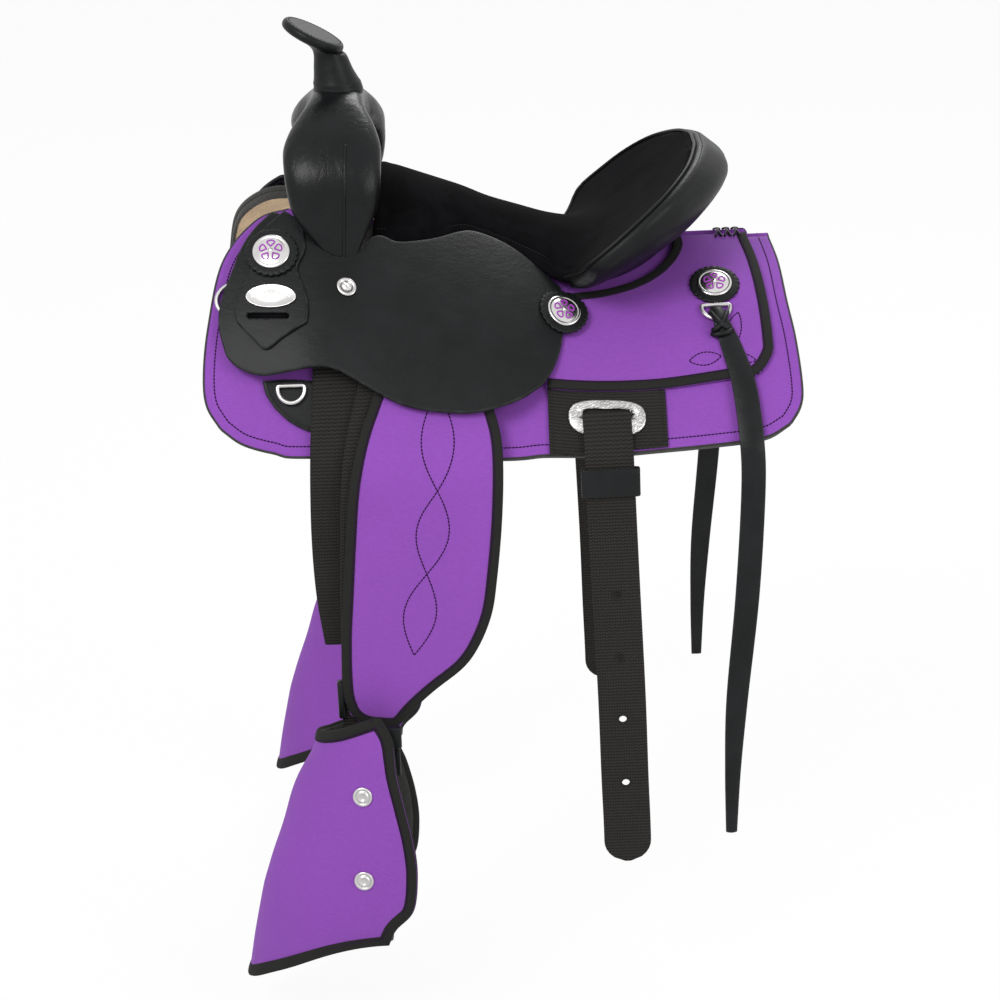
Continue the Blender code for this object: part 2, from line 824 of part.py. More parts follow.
def concho(name, x, s, lift, side):
    """A domed silver disc on its leather rosette, held by one screw."""
    rosette = disc_rings(
        ROSETTE_D / 2, ((0.98, 0), (1, ROSETTE_T * 0.5), (0.98, ROSETTE_T)),
        2 * ROSETTE_SCALLOPS, 0.035, ROSETTE_SCALLOPS,
    )
    share = CONCHO_D / ROSETTE_D
    silver = disc_rings(
        ROSETTE_D / 2,
        ((share, ROSETTE_T), (share, ROSETTE_T + CONCHO_T * 0.6),
         (share * 0.9, ROSETTE_T + CONCHO_T),
         (share * 0.5, ROSETTE_T + CONCHO_T + CONCHO_DOME * 0.75),
         (share * 0.18, ROSETTE_T + CONCHO_T + CONCHO_DOME)),
        2 * ROSETTE_SCALLOPS,
    )
    return ring_object(name, on_layer(rosette + silver, x, s, lift, side), SILVER)


def above_keeper(x):
    return above_jockey(x) + PLATE_T + LAYER_GAP


def above_rear_jockey(x):
    return REAR_JOCKEY_TOP + LAYER_GAP


FRONT_CONCHO = (-199 * MM, 110 * MM)
MIDDLE_CONCHO = (62 * MM, 112 * MM)
REAR_CONCHO = (204 * MM, 77 * MM)
CONCHOS = (
    ("front", FRONT_CONCHO, above_keeper),
    ("middle", MIDDLE_CONCHO, above_jockey),
    ("rear", REAR_CONCHO, above_rear_jockey),
)
for side, word in SIDES:
    for place, (x, s), lift in CONCHOS:
        concho(f"{place}_concho_{word}", x, s, lift, side)

# Oval plates, badges and the swell screws


def oval(name, x, s, lift, side, length, width, thickness):
    rings = []
    for share, height in ((0.97, 0), (1, thickness * 0.5), (0.96, thickness)):
        rings.append([])
        for i in range(32):
            turn = 2 * math.pi * i / 32
            rings[-1].append(
                Vector(
                    (
                        share * length / 2 * math.cos(turn),
                        share * width / 2 * math.sin(turn),
                        height,
                    )
                )
            )
    return ring_object(name, on_layer(rings, x, s, lift, side), SILVER)


def above_patch(x):
    return PLATE_TOP + LAYER_GAP


OVAL_AT = (98 * MM, 212 * MM)
SLOT_UP = 5 * MM
for side, word in SIDES:
    plate = oval(
        f"rear_rigging_oval_{word}", *OVAL_AT, above_patch, side, OVAL_L, OVAL_W, OVAL_T
    )
    billet_slot = box_cutter(
        f"billet_slot_{word}",
        back_frame(OVAL_AT[0], OVAL_AT[1] - SLOT_UP, above_patch(0), side),
        (BILLET_W + 5 * MM, SLOT_W + 4 * MM, 30 * MM),
    )
    cut(plate, billet_slot)
    oval(
        f"badge_{word}", -199 * MM, 151 * MM, above_keeper, side, BADGE_L, BADGE_W, BADGE_T
    )

# Dees


def dee(name, frame, length, width):
    """A wire dee: a straight bar and a half round, lying in the frame's XY."""
    route = [Vector((-length / 2, 0, 0)), Vector((length / 2, 0, 0))]
    for i in range(9):
        turn = math.pi * i / 8
        route.append(
            Vector(
                (length / 2 * math.cos(turn), 3 * MM + (width - 3 * MM) * math.sin(turn), 0)
            )
        )
    rings = []
    count = len(route)
    for i, p in enumerate(route):
        along = (route[(i + 1) % count] - route[i - 1]).normalized()
        side_way = Vector((0, 0, 1)).cross(along)
        rings.append(
            [
                frame
                @ (
                    p
                    + side_way * DEE_WIRE / 2 * math.cos(2 * math.pi * k / 6)
                    + Vector((0, 0, 1)) * DEE_WIRE / 2 * math.sin(2 * math.pi * k / 6)
                )
                for k in range(6)
            ]
        )
    return ring_object(name, rings, STEEL, closed=True)


FRONT_DEE = (-182 * MM, 224 * MM)
BREAST_DEE = (-226 * MM, 148 * MM)
REAR_DEE = (REAR_CONCHO[0] - 1 * MM, REAR_CONCHO[1] + ROSETTE_D / 2 + 3 * MM)
for side, word in SIDES:
    down = Matrix.Rotation(0 if side == OFF else math.pi, 4, "Z")
    tail = Matrix.Rotation(math.pi / 2, 4, "Z")
    wire = DEE_WIRE / 2 + FIT
    dee(
        f"front_dee_{word}",
        back_frame(*FRONT_DEE, PLATE_TOP + wire + 0.3 * MM, side) @ down,
        24 * MM, 16 * MM,
    )
    dee(
        f"breast_dee_{word}",
        back_frame(*BREAST_DEE, SKIRT_TOP + wire + 0.2 * MM, side) @ tail,
        34 * MM, 22 * MM,
    )
    dee(
        f"rear_dee_{word}",
        back_frame(*REAR_DEE, REAR_JOCKEY_TOP + wire + 0.3 * MM, side) @ down,
        26 * MM, 16 * MM,
    )

# Straps that hang


def hang_point(x, z, lift, plane, side):
    """At height z, on the lifted back, or straight down in the plane once that lies inside."""
    low, high = 60 * MM, 330 * MM
    for _ in range(24):
        s = (low + high) / 2
        if drape(x, s, lift).z > z:
            low = s
        else:
            high = s
    y = -drape(x, low, lift).y
    if low > 325 * MM:
        y = plane + 40 * MM
    blend = max(0.0, 10 * MM - abs(y - plane))
    y = min(y, plane) - blend * blend / (40 * MM)
    return Vector((x, y * side, z))


def strap(name, side, lift, plane, edges, cells, thickness, material):
    """A strap or flap that hangs over the skirt. The edges are x, z in mm."""
    rows = []
    for row in patch(*[[Vector(p) * MM for p in edge] for edge in edges], cells):
        rows.append([hang_point(p.x, p.y, lift, plane, side) for p in row])
    made = grid_object(name, rows, material, side == OFF)
    thicken(made, thickness)
    return made


TIE_TOP_Z = drape(*REAR_DEE, REAR_JOCKEY_TOP).z / MM
FENDER_EDGES = (
    [(-104, -64), (-55, -76), (-5, -82)],
    [(-5, -82), (3, -115), (1, -172), (-6, -234), (-14, -275), (-34, -314), (-64, -339),
     (-78, -351), (-92, -365), (-100, -376)],
    [(-143, -362), (-130, -372), (-100, -376)],
    [(-104, -64), (-111, -80), (-122, -106), (-132, -146), (-138, -197), (-143, -248),
     (-147, -291), (-148, -340), (-143, -362)],
)
LEATHER_END = (STIRRUP_BOLT.z + STIRRUP_T / 2 + 2 * FIT) / MM
LEATHER_CENTRE = (
    (-80, 9), (-90, -45), (-110, -115), (-118, -200), (-124, -330), (-126, LEATHER_END),
)
LATIGO_CENTRE = ((-139, -38), (-141, -80), (-144, -121), (-147, -192), (-146, -250), (-141, -299))
BILLET_CENTRE = (
    (98, -98), (99, -160), (101, -245), (104, -358), (105, -440), (106, -494), (106, -528),
)
TIE_CENTRE = ((203, TIE_TOP_Z), (215, TIE_TOP_Z - 30), (226, -120), (223, -243), (218, -306), (209, -371),
              (202, -440), (200, -506))


def ribbon_edges(centre, width, end_width=None):
    """The four edges of a strap about its centre line."""
    half = width / MM / 2
    end = half if end_width is None else end_width / MM / 2
    last = len(centre) - 1
    spread = [half + (end - half) * (1 if k == last else 0) for k in range(len(centre))]
    left = [(x - w, z) for (x, z), w in zip(centre, spread)]
    right = [(x + w, z) for (x, z), w in zip(centre, spread)]
    return [left[0], right[0]], right, [left[-1], right[-1]], left


LATIGO_LIFT = PLATE_TOP + LAYER_GAP
LATIGO_PLANE = 210 * MM
LEATHER_LIFT = LATIGO_LIFT + STRAP_T + 3.0 * MM
LEATHER_PLANE = 222.5 * MM
FENDER_LIFT = LEATHER_LIFT + STRAP_T + FENDER_GAP
FENDER_PLANE = LEATHER_PLANE + STRAP_T + FENDER_GAP

BILLET_LIFT = PLATE_TOP + LAYER_GAP + OVAL_T + FIT + 0.4 * MM
BILLET_PLANE = 212.5 * MM

for side, word in SIDES:
    strap(
        f"fender_{word}", side, FENDER_LIFT, FENDER_PLANE, FENDER_EDGES, (5, 16), STRAP_T, PURPLE
    )
    strap(
        f"stirrup_leather_{word}", side, LEATHER_LIFT, LEATHER_PLANE,
        ribbon_edges(LEATHER_CENTRE, LEATHER_W), (2, 18), STRAP_T, WEB,
    )
    strap(
        "latigo" if side == NEAR else "off_billet", side, LATIGO_LIFT, LATIGO_PLANE,
        ribbon_edges(LATIGO_CENTRE, LATIGO_W), (2, 14), STRAP_T, WEB,
    )
    flank = strap(
        f"flank_billet_{word}", side, BILLET_LIFT, BILLET_PLANE,
        ribbon_edges(BILLET_CENTRE, BILLET_W, BILLET_W * 0.5), (2, 20), STRAP_T, BLACK,
    )
    for n, hole in enumerate((-261, -323, -384, -448)):
        frame = Matrix.Translation((102 * MM, BILLET_PLANE * side, hole * MM))
        frame = frame @ Matrix.Rotation(math.pi / 2, 4, "X")
        cut(flank, round_cutter(f"billet_hole_{word}_{n}", frame, BILLET_HOLE_D, 20 * MM))

# The keeper that slides on each flank billet

for side, word in SIDES:
    middle = Vector((99 * MM, (BILLET_PLANE + STRAP_T / 2) * side, -153.5 * MM))
    inner = (BILLET_W / 2 + KEEPER_FIT + 1 * MM, STRAP_T / 2 + KEEPER_FIT)
    outer = (inner[0] + KEEPER_T, inner[1] + KEEPER_T * 0.6)
    rings = []
    for (hx, hy), z in ((outer, -1), (outer, 1), (inner, 1), (inner, -1)):
        rings.append(
            [
                middle + Vector((x * hx, y * hy, z * KEEPER_H / 2))
                for x, y in ((-1, -1), (1, -1), (1, 1), (-1, 1))
            ]
        )
    ring_object(f"billet_keeper_{word}", rings, BLACK, closed=True)

# Tie straps: one lace doubled through the rear dee, so two tails


TIE_LIFT = REAR_JOCKEY_TOP + 0.8 * MM
TIE_T = 2.0 * MM
TIE_PLANE = 211 * MM
OVER_WIRE = DEE_WIRE + 1.0 * MM
TIE_BUMP_DOWN = 7.3 * MM
REAR_DEE_Z = TIE_TOP_Z * MM - TIE_BUMP_DOWN

for side, word in SIDES:
    rows = []
    route = curve_through(TIE_CENTRE, 96)
    for p in [route[k + round(72 * (k / 24) ** 2)] for k in range(25)]:
        wide = smoothed((-p.y - 34) / 26) - 0.7 * smoothed((-p.y - 300) / 200)
        half = (TIE_TOP_W + (TIE_W - TIE_TOP_W) * wide) / MM / 2
        z = p.y * MM
        over = OVER_WIRE * math.exp(-(((z - REAR_DEE_Z) / (9 * MM)) ** 2))
        row = [p.x - half, p.x - 1, p.x + 1, p.x + half]
        rows.append([hang_point(x * MM, z, TIE_LIFT + over, TIE_PLANE, side) for x in row])
    tie = grid_object(
        f"tie_strap_{word}", rows, BLACK, side == OFF, [(1, j) for j in range(2, 24)]
    )
    thicken(tie, TIE_T)

# Stirrups


def stirrup_route():
    """The middle of the frame's section, once round, in y and z from the stirrup's centre."""
    top = STIRRUP_BOLT.z
    low = TREAD_Z - STIRRUP_T / 2
    half = [
        (0, top), (STIRRUP_TOP_HALF_W * 0.8, top), (STIRRUP_TOP_HALF_W + 3 * MM, top - 8 * MM),
        (STIRRUP_HALF_W - 14 * MM, top - 50 * MM), (STIRRUP_HALF_W - 3 * MM, top - 110 * MM),
        (STIRRUP_HALF_W, top - 160 * MM), (STIRRUP_HALF_W - 1 * MM, low + 14 * MM),
        (STIRRUP_HALF_W - 9 * MM, low), (STIRRUP_HALF_W - 20 * MM, low), (0, low),
    ]
    return half + [(-y, z) for y, z in half[-2:0:-1]]


for side, word in SIDES:
    route = stirrup_route()
    rings = []
    count = len(route)
    for i, (y, z) in enumerate(route):
        ahead, behind = route[(i + 1) % count], route[i - 1]
        along = Vector((0, ahead[0] - behind[0], ahead[1] - behind[1])).normalized()
        out = Vector((0, -along.z, along.y))
        share = smoothed((STIRRUP_BOLT.z - z) / (STIRRUP_BOLT.z - TREAD_Z))
        thick = STIRRUP_T / 2
        deep = thick + (TREAD_DEPTH / 2 - thick) * share
        centre = Vector((STIRRUP_BOLT.x, STIRRUP_BOLT.y * side + y, z))
        rings.append(
            [
                centre + out * thick * a + Vector((deep * b, 0, 0))
                for a, b in (
                    (-1, -0.6), (-1, 0.6), (-0.5, 1), (0.5, 1), (1, 0.6), (1, -0.6), (0.5, -1),
                    (-0.5, -1),
                )
            ]
        )
    ring_object(f"stirrup_{word}", rings, TREE, closed=True)

# Tapadero hoods: levels from the top down, each the front, the rear and the half width in mm

HOOD = (
    (-352, -174, -116, 36),
    (-372, -179, -106, 41),
    (-405, -191, -103, 47),
    (-436, -201, -97, 52),
    (-468, -211, -91, 56),
    (-500, -223, -89, 59),
    (-535, -235, -94, 61),
    (-560, -246, -110, 61),
    (-582, -254, -118, 58),
)
TOE_DROP = 40 * MM


def hood(side, word):
    rows = []
    for z, front, rear, half in HOOD:
        length = rear - front
        row = []
        for share, out in ((1, 1), (0.66, 0.97), (0.36, 0.8), (0.13, 0.46), (0.02, 0.14)):
            row.append((front + length * share, half * out))
        ring = [(x, -y) for x, y in row] + [(x, y) for x, y in row[::-1]]
        drop = smoothed((-z - 535) / 47)
        rows.append(
            [
                Vector(
                    (
                        x * MM,
                        STIRRUP_BOLT.y * side + y * MM,
                        z * MM - drop * TOE_DROP * max(0.0, 1 - (x - front) / 60),
                    )
                )
                for x, y in ring
            ]
        )
    bm = bmesh.new()
    verts = [[bm.verts.new(p) for p in row] for row in rows]
    for j in range(len(rows) - 1):
        for i in range(len(rows[0]) - 1):
            bm.faces.new((verts[j][i], verts[j][i + 1], verts[j + 1][i + 1], verts[j + 1][i]))
    sole = verts[-1]
    last = len(sole) - 1
    for i in range(len(sole) // 2 - 1):
        bm.faces.new((sole[i], sole[i + 1], sole[last - i - 1], sole[last - i]))
    bmesh.ops.recalc_face_normals(bm, faces=bm.faces)
    made = mesh_object(f"tapadero_{word}", bm, PURPLE)
    thicken(made, HOOD_T, -1)
    made.modifiers["thickness"].use_even_offset = True
    return made


for side, word in SIDES:
    hood(side, word)

# Swell screws

for side, word in SIDES:
    ring_object(
        f"swell_screw_{word}",
        on_layer(
            disc_rings(
                FERRULE_D / 2,
                ((1, 0), (0.96, 1.4 * MM), (SCREW_D / FERRULE_D, 1.4 * MM),
                 (SCREW_D / FERRULE_D * 0.9, 2.8 * MM), (0.2, 3.4 * MM)),
                24,
            ),
            -134 * MM, 135 * MM, above_jockey, side,
        ),
        STEEL,
    )
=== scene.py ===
"""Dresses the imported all-around saddle in leather, woven panels, webbing, stitching and silver."""

import math

import bpy
import numpy as np
from bpy.props import FloatProperty, FloatVectorProperty, PointerProperty
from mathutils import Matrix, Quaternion, Vector


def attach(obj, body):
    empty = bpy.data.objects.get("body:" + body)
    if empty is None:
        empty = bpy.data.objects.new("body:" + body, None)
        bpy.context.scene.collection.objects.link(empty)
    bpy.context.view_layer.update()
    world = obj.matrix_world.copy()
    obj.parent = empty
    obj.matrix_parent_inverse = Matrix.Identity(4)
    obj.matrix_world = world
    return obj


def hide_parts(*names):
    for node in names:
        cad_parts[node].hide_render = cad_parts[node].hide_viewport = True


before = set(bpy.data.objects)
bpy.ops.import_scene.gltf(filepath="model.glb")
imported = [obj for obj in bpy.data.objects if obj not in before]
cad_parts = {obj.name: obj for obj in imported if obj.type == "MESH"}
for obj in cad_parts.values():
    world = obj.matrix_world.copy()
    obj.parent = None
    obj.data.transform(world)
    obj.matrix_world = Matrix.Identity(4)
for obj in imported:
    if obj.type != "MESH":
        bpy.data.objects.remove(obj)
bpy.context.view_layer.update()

bl_info = {
    "name": "All-around saddle",
    "version": (1, 0, 0),
    "blender": (4, 5, 0),
    "location": "3D View > Sidebar > Saddle",
    "description": "Leather, woven panels, webbing, stitching and silver for a packed saddle",
    "category": "Object",
}

MM = 0.001
SIDES = (("left", -1), ("right", 1))

# The back that every layer is shaped to, and how high each layer lies over it
BACK_ROUND = 360 * MM
WITHERS_ROUND = 90 * MM
WITHERS_RISE = 88 * MM
BACK_SLOPE = 16
WITHERS_SLOPE = 14
WITHERS_X = -260 * MM
WITHERS_RUN = 380 * MM
LINING_T = 6.3 * MM
SKIRT_LIFT = 7.0 * MM
SKIRT_T = 4.7 * MM
ON_SKIRT = 12.4 * MM
PLATE_T = 2.5 * MM
REAR_JOCKEY_T = 4.0 * MM
ABOVE_REAR_JOCKEY = 17.1 * MM
JOCKEY_T = 4.0 * MM
JOCKEY_BULGE = 15.5 * MM
BULGE = (-255 * MM, -150 * MM, 0 * MM, 66 * MM)
LAYER_GAP = 0.7 * MM
STRAP_T = 3.0 * MM
TIE_T = 2.0 * MM
SEAT_T = 8.0 * MM
COVER_T = 2.5 * MM
# Where down the back a hanging piece may leave it, and how softly it does
HANG_FROM, HANG_TO, HANG_EASE = 60 * MM, 330 * MM, 10 * MM
# The step over which a surface's directions are measured
STEP = 0.5 * MM


# Working with rows of points


def smoothed(t):
    t = np.clip(t, 0.0, 1.0)
    return t * t * (3 - 2 * t)


def unit(v):
    return v / np.maximum(np.linalg.norm(v, axis=-1, keepdims=True), 1e-12)


def bent(values, power):
    """The values with their sizes raised to a power, which squares a circle off below 1."""
    return np.sign(values) * np.abs(values) ** power


def circle(count):
    """Angles evenly spaced all the way round."""
    return np.linspace(0, 2 * np.pi, count, endpoint=False)


def fine_curve(points, steps=12):
    """A smooth line through the points, a few steps between each two."""
    p = np.asarray(points, float)
    if len(p) == 2:
        return p[0] + (p[1] - p[0]) * np.linspace(0, 1, steps + 1)[:, None]
    p = np.vstack([2 * p[0] - p[1], p, 2 * p[-1] - p[-2]])
    t = np.arange(steps)[:, None] / steps
    runs = []
    for a, b, c, d in zip(p, p[1:], p[2:], p[3:]):
        runs.append(
            0.5 * (2 * b + (c - a) * t + (2 * a - 5 * b + 4 * c - d) * t * t
                   + (3 * b - a - 3 * c + d) * t**3)
        )
    return np.vstack(runs + [p[-2][None]])


def lengths(line):
    return np.concatenate([[0], np.cumsum(np.linalg.norm(np.diff(line, axis=0), axis=1))])


def tangents(line, closed=False):
    if closed:
        return unit(np.roll(line, -1, 0) - np.roll(line, 1, 0))
    return unit(np.gradient(line, axis=0))


def flat_of(grid):
    """Lengths down and across a grid of points, as cloth coordinates."""
    down = np.cumsum(np.linalg.norm(np.diff(grid, axis=0), axis=2), 0)
    over = np.cumsum(np.linalg.norm(np.diff(grid, axis=1), axis=2), 1)
    down = np.concatenate([np.zeros((1, grid.shape[1])), down])
    over = np.concatenate([np.zeros((grid.shape[0], 1)), over], 1)
    return np.stack([down, over], -1)


def spaced(line, count):
    """count + 1 points, evenly spaced along a line of points."""
    run = lengths(line)
    want = np.linspace(0, run[-1], count + 1)
    return np.stack([np.interp(want, run, line[:, k]) for k in range(line.shape[1])], 1)


def curve(points, count):
    return spaced(fine_curve(points), count)


def along(points, spacing):
    """A smooth line through the points, with a point about every so far."""
    line = fine_curve(points)
    return spaced(line, max(2, round(lengths(line)[-1] / spacing)))


def patch(top, rear, bottom, front, cells):
    """A grid of points inside four edges. Top and bottom run to the tail, the others down."""
    nu, nv = cells
    top, bottom = curve(top, nu), curve(bottom, nu)
    front, rear = curve(front, nv), curve(rear, nv)
    u, v = np.meshgrid(np.linspace(0, 1, nu + 1), np.linspace(0, 1, nv + 1))
    u, v = u[..., None], v[..., None]
    corners = (1 - v) * ((1 - u) * top[0] + u * top[-1]) + v * (
        (1 - u) * bottom[0] + u * bottom[-1]
    )
    return (
        (1 - v) * top[None] + v * bottom[None] + (1 - u) * front[:, None] + u * rear[:, None]
        - corners
    )


def in_metres(edges):
    return [np.asarray(edge, float) * MM for edge in edges]


# Surfaces that pieces are laid on, always on the near side


def on_back(x, s):
    front = 1 - smoothed((x - WITHERS_X) / WITHERS_RUN)
    slope = np.radians(BACK_SLOPE + WITHERS_SLOPE * front)
    radius = BACK_ROUND + WITHERS_ROUND * front
    turn = slope + s / radius
    return np.stack(
        [
            x,
            -(np.sin(turn) - np.sin(slope)) * radius,
            WITHERS_RISE * front - (np.cos(slope) - np.cos(turn)) * radius,
        ],
        -1,
    )


def lifted(x, s, lift):
    """The point of the back at station x, a length s down from the spine, lifted off it."""
    ahead = on_back(x + STEP, s) - on_back(x - STEP, s)
    down = on_back(x, s + STEP) - on_back(x, s - STEP)
    out = unit(np.cross(down, ahead))
    out = np.where(out[..., 1:2] > 0, -out, out)
    return on_back(x, s) + out * np.asarray(lift)[..., None]


def hanging(x, z, lift, plane):
    """At height z, on the lifted back, or straight down in the plane once that lies inside."""
    low = np.full(np.shape(x), HANG_FROM)
    high = np.full(np.shape(x), HANG_TO)
    for _ in range(24):
        s = (low + high) / 2
        above = lifted(x, s, lift)[..., 2] > z
        low, high = np.where(above, s, low), np.where(above, high, s)
    y = -lifted(x, low, lift)[..., 1]
    y = np.where(low > HANG_TO - 5 * MM, plane + 4 * HANG_EASE, y)
    blend = np.maximum(0.0, HANG_EASE - np.abs(y - plane))
    y = np.minimum(y, plane) - blend * blend / (4 * HANG_EASE)
    return np.stack([x, -y, z], -1)


class Layer:
    """A surface given by a function from two numbers to points, and which way is out of it."""

    def __init__(self, place, outward=(0, -1, 0.35)):
        self.place, self.outward = place, np.array(outward, float)

    def out(self, a, b):
        across = self.place(a + STEP, b) - self.place(a - STEP, b)
        down = self.place(a, b + STEP) - self.place(a, b - STEP)
        normal = unit(np.cross(across, down))
        sign = np.sign((normal * self.outward).sum(-1, keepdims=True))
        return normal * np.where(sign == 0, 1, sign)

    def __call__(self, a, b, up=0.0):
        a, b = np.asarray(a, float), np.asarray(b, float)
        return self.place(a, b) + self.out(a, b) * np.asarray(up)[..., None]


def jockey_lift(x):
    rise = smoothed((x - BULGE[0]) / (BULGE[1] - BULGE[0]))
    fall = smoothed((x - BULGE[2]) / (BULGE[3] - BULGE[2]))
    return ABOVE_REAR_JOCKEY + JOCKEY_BULGE * (rise - fall)


def draped(lift):
    return Layer(lambda x, s: lifted(x, s, lift(x) if callable(lift) else lift + 0 * x))


def hung(lift, plane):
    return Layer(lambda x, z: hanging(x, z, lift, plane), outward=(0, -1, 0.2))


ON_LINING = draped(0.0)
UNDER_SKIRT = draped(SKIRT_LIFT)
OVER_SKIRT = draped(ON_SKIRT)
UNDER_JOCKEY = draped(jockey_lift)
OVER_JOCKEY = draped(lambda x: jockey_lift(x) + JOCKEY_T + LAYER_GAP)
OVER_KEEPER = draped(lambda x: jockey_lift(x) + JOCKEY_T + PLATE_T + 2 * LAYER_GAP)
OVER_REAR_JOCKEY = draped(ABOVE_REAR_JOCKEY)
OVER_PATCH = draped(ON_SKIRT + PLATE_T + LAYER_GAP)
LATIGO_LAYER = hung(15.6 * MM, 210 * MM)
LEATHER_LAYER = hung(21.6 * MM, 222.5 * MM)
FENDER_LAYER = hung(25.55 * MM, 226.45 * MM)
BILLET_LAYER = hung(17.9 * MM, 212.5 * MM)


# Shapes: points, faces and cloth coordinates, made into pieces at the end


class Shape:
    def __init__(self, points, faces, cloth=None, edge=None):
        self.points = np.asarray(points, float).reshape(-1, 3)
        self.faces = [list(f) for f in faces]
        count = len(self.points)
        self.cloth = np.zeros((count, 2)) if cloth is None else np.asarray(cloth).reshape(-1, 2)
        self.edge = np.full(count, 0.05) if edge is None else np.asarray(edge).ravel()

    def __add__(self, other):
        start = len(self.points)
        return Shape(
            np.vstack([self.points, other.points]),
            self.faces + [[i + start for i in f] for f in other.faces],
            np.vstack([self.cloth, other.cloth]),
            np.concatenate([self.edge, other.edge]),
        )

    def mirrored(self):
        return Shape(
            self.points * (1, -1, 1), [f[::-1] for f in self.faces], self.cloth, self.edge
        )


def joined(shapes):
    total = shapes[0]
    for shape in shapes[1:]:
        total = total + shape
    return total


def distance_to(line, points, closed=True):
    """How far each point lies from a line, on the flat."""
    a = line
    b = np.roll(line, -1, 0) if closed else line[1:]
    a = a if closed else a[:-1]
    best = np.full(len(points), 1e9)
    for start in range(0, len(a), 64):
        p, q = a[start : start + 64], b[start : start + 64]
        d = q - p
        t = ((points[:, None] - p) * d).sum(-1) / np.maximum((d * d).sum(-1), 1e-18)
        near = p + np.clip(t, 0, 1)[..., None] * d
        best = np.minimum(best, np.linalg.norm(points[:, None] - near, axis=-1).min(1))
    return best


def border_of(rows, cols):
    top = [(0, i) for i in range(cols)]
    rear = [(j, cols - 1) for j in range(1, rows)]
    bottom = [(rows - 1, i) for i in range(cols - 2, -1, -1)]
    front = [(j, 0) for j in range(rows - 2, 0, -1)]
    return np.array([j * cols + i for j, i in top + rear + bottom + front])


def sheet(inner, outer, flat, round_by=0.25):
    """A closed sheet between two grids of points, with a rounded rim."""
    rows, cols = inner.shape[:2]
    size = rows * cols
    low, high = inner.reshape(-1, 3), outer.reshape(-1, 3)
    flat = flat.reshape(-1, 2)
    faces = []
    for j in range(rows - 1):
        for i in range(cols - 1):
            k = j * cols + i
            quad = [k, k + cols, k + cols + 1, k + 1]
            faces.append(quad)
            faces.append([size + n for n in quad[::-1]])
    loop = border_of(rows, cols)
    a, b = low[loop], high[loop]
    tangent = np.roll(a, -1, 0) - np.roll(a, 1, 0)
    away = unit(np.cross(tangent, b - a))
    if ((a - a.mean(0)) * away).sum() < 0:
        away = -away
    thick = np.linalg.norm(b - a, axis=1)[:, None]
    rims = [
        a + (b - a) * share + away * thick * push * round_by
        for share, push in ((0.18, 0.75), (0.5, 1.0), (0.82, 0.75))
    ]
    on_rim = [2 * size + k * len(loop) + np.arange(len(loop)) for k in range(3)]
    rings = [loop, *on_rim, loop + size]
    for p, q in zip(rings, rings[1:]):
        for i in range(len(loop)):
            k = (i + 1) % len(loop)
            faces.append([p[i], p[k], q[k], q[i]])
    edge = distance_to(flat[loop], flat)
    return facing_out(
        Shape(
            np.vstack([low, high, *rims]),
            faces,
            np.vstack([flat, flat, *[flat[loop]] * 3]),
            np.concatenate([edge, edge, *[np.zeros(len(loop))] * 3]),
        )
    )


def volume(shape):
    total = 0.0
    p = shape.points
    for f in shape.faces:
        for k in range(1, len(f) - 1):
            total += np.dot(p[f[0]], np.cross(p[f[k]], p[f[k + 1]]))
    return total


def facing_out(shape):
    """The same closed shape with its faces turned outwards."""
    if volume(shape) < 0:
        shape.faces = [f[::-1] for f in shape.faces]
    return shape


def flap(layer, edges, thickness, spacing=5 * MM, round_by=0.25):
    """A sheet laid on a layer, inside four edges in mm."""
    edges = in_metres(edges)
    reach = [lengths(fine_curve(edge))[-1] for edge in edges]
    wide, deep = max(reach[::2]), max(reach[1::2])
    grid = patch(*edges, (max(3, round(wide / spacing)), max(3, round(deep / spacing))))
    a, b = grid[..., 0], grid[..., 1]
    inner = layer.place(a, b)
    return sheet(inner, inner + layer.out(a, b) * thickness, grid, round_by)


def swept(line, normals, profile, inward):
    """A tape along a line. Its profile gives lengths inward over the sheet, and out of it."""
    profile = np.asarray(profile, float)
    tangent = tangents(line)
    aside = unit(np.cross(tangent, normals))
    up = unit(np.cross(aside, tangent))
    if (inward * aside).sum() < 0:
        aside = -aside
    rings = (
        line[:, None] + aside[:, None] * profile[None, :, :1] + up[:, None] * profile[None, :, 1:]
    )
    round_way = lengths(np.vstack([profile, profile[:1]]))[:-1]
    cloth = np.stack(np.broadcast_arrays(lengths(line)[:, None], round_way[None]), -1)
    return lofted(rings, cloth=cloth)


def lofted(rings, closed=False, cloth=None):
    """A skin through rings of points, with its ends filled unless it closes on itself."""
    rings = np.asarray(rings, float)
    m, n = rings.shape[:2]
    faces = []
    for j in range(m if closed else m - 1):
        k = (j + 1) % m
        for i in range(n):
            i2 = (i + 1) % n
            faces.append([j * n + i, j * n + i2, k * n + i2, k * n + i])
    if cloth is None:
        run, around = np.moveaxis(flat_of(rings), -1, 0)
        cloth = np.stack([around, np.broadcast_to(run.mean(1)[:, None], around.shape)], -1)
    points = rings.reshape(-1, 3)
    cloth = np.asarray(cloth).reshape(-1, 2)
    if not closed:
        for j, turn in ((0, -1), (m - 1, 1)):
            centre = len(points)
            points = np.vstack([points, rings[j].mean(0)])
            cloth = np.vstack([cloth, cloth[j * n : (j + 1) * n].mean(0)])
            for i in range(n):
                f = [j * n + i, j * n + (i + 1) % n, centre]
                faces.append(f[::-1] if turn < 0 else f)
    return facing_out(Shape(points, faces, cloth))


def tube(line, radius, closed=False, sides=10):
    """A round wire along a line of points."""
    line = np.asarray(line, float)
    tangent = tangents(line, closed)
    side = np.cross(tangent[0], (0.3, 0.2, 0.93))
    turn = circle(sides)[:, None]
    rings = []
    for p, t in zip(line, tangent):
        side = unit(side - t * np.dot(side, t))
        other = np.cross(t, side)
        rings.append(p + radius * (np.cos(turn) * side + np.sin(turn) * other))
    return lofted(rings, closed)


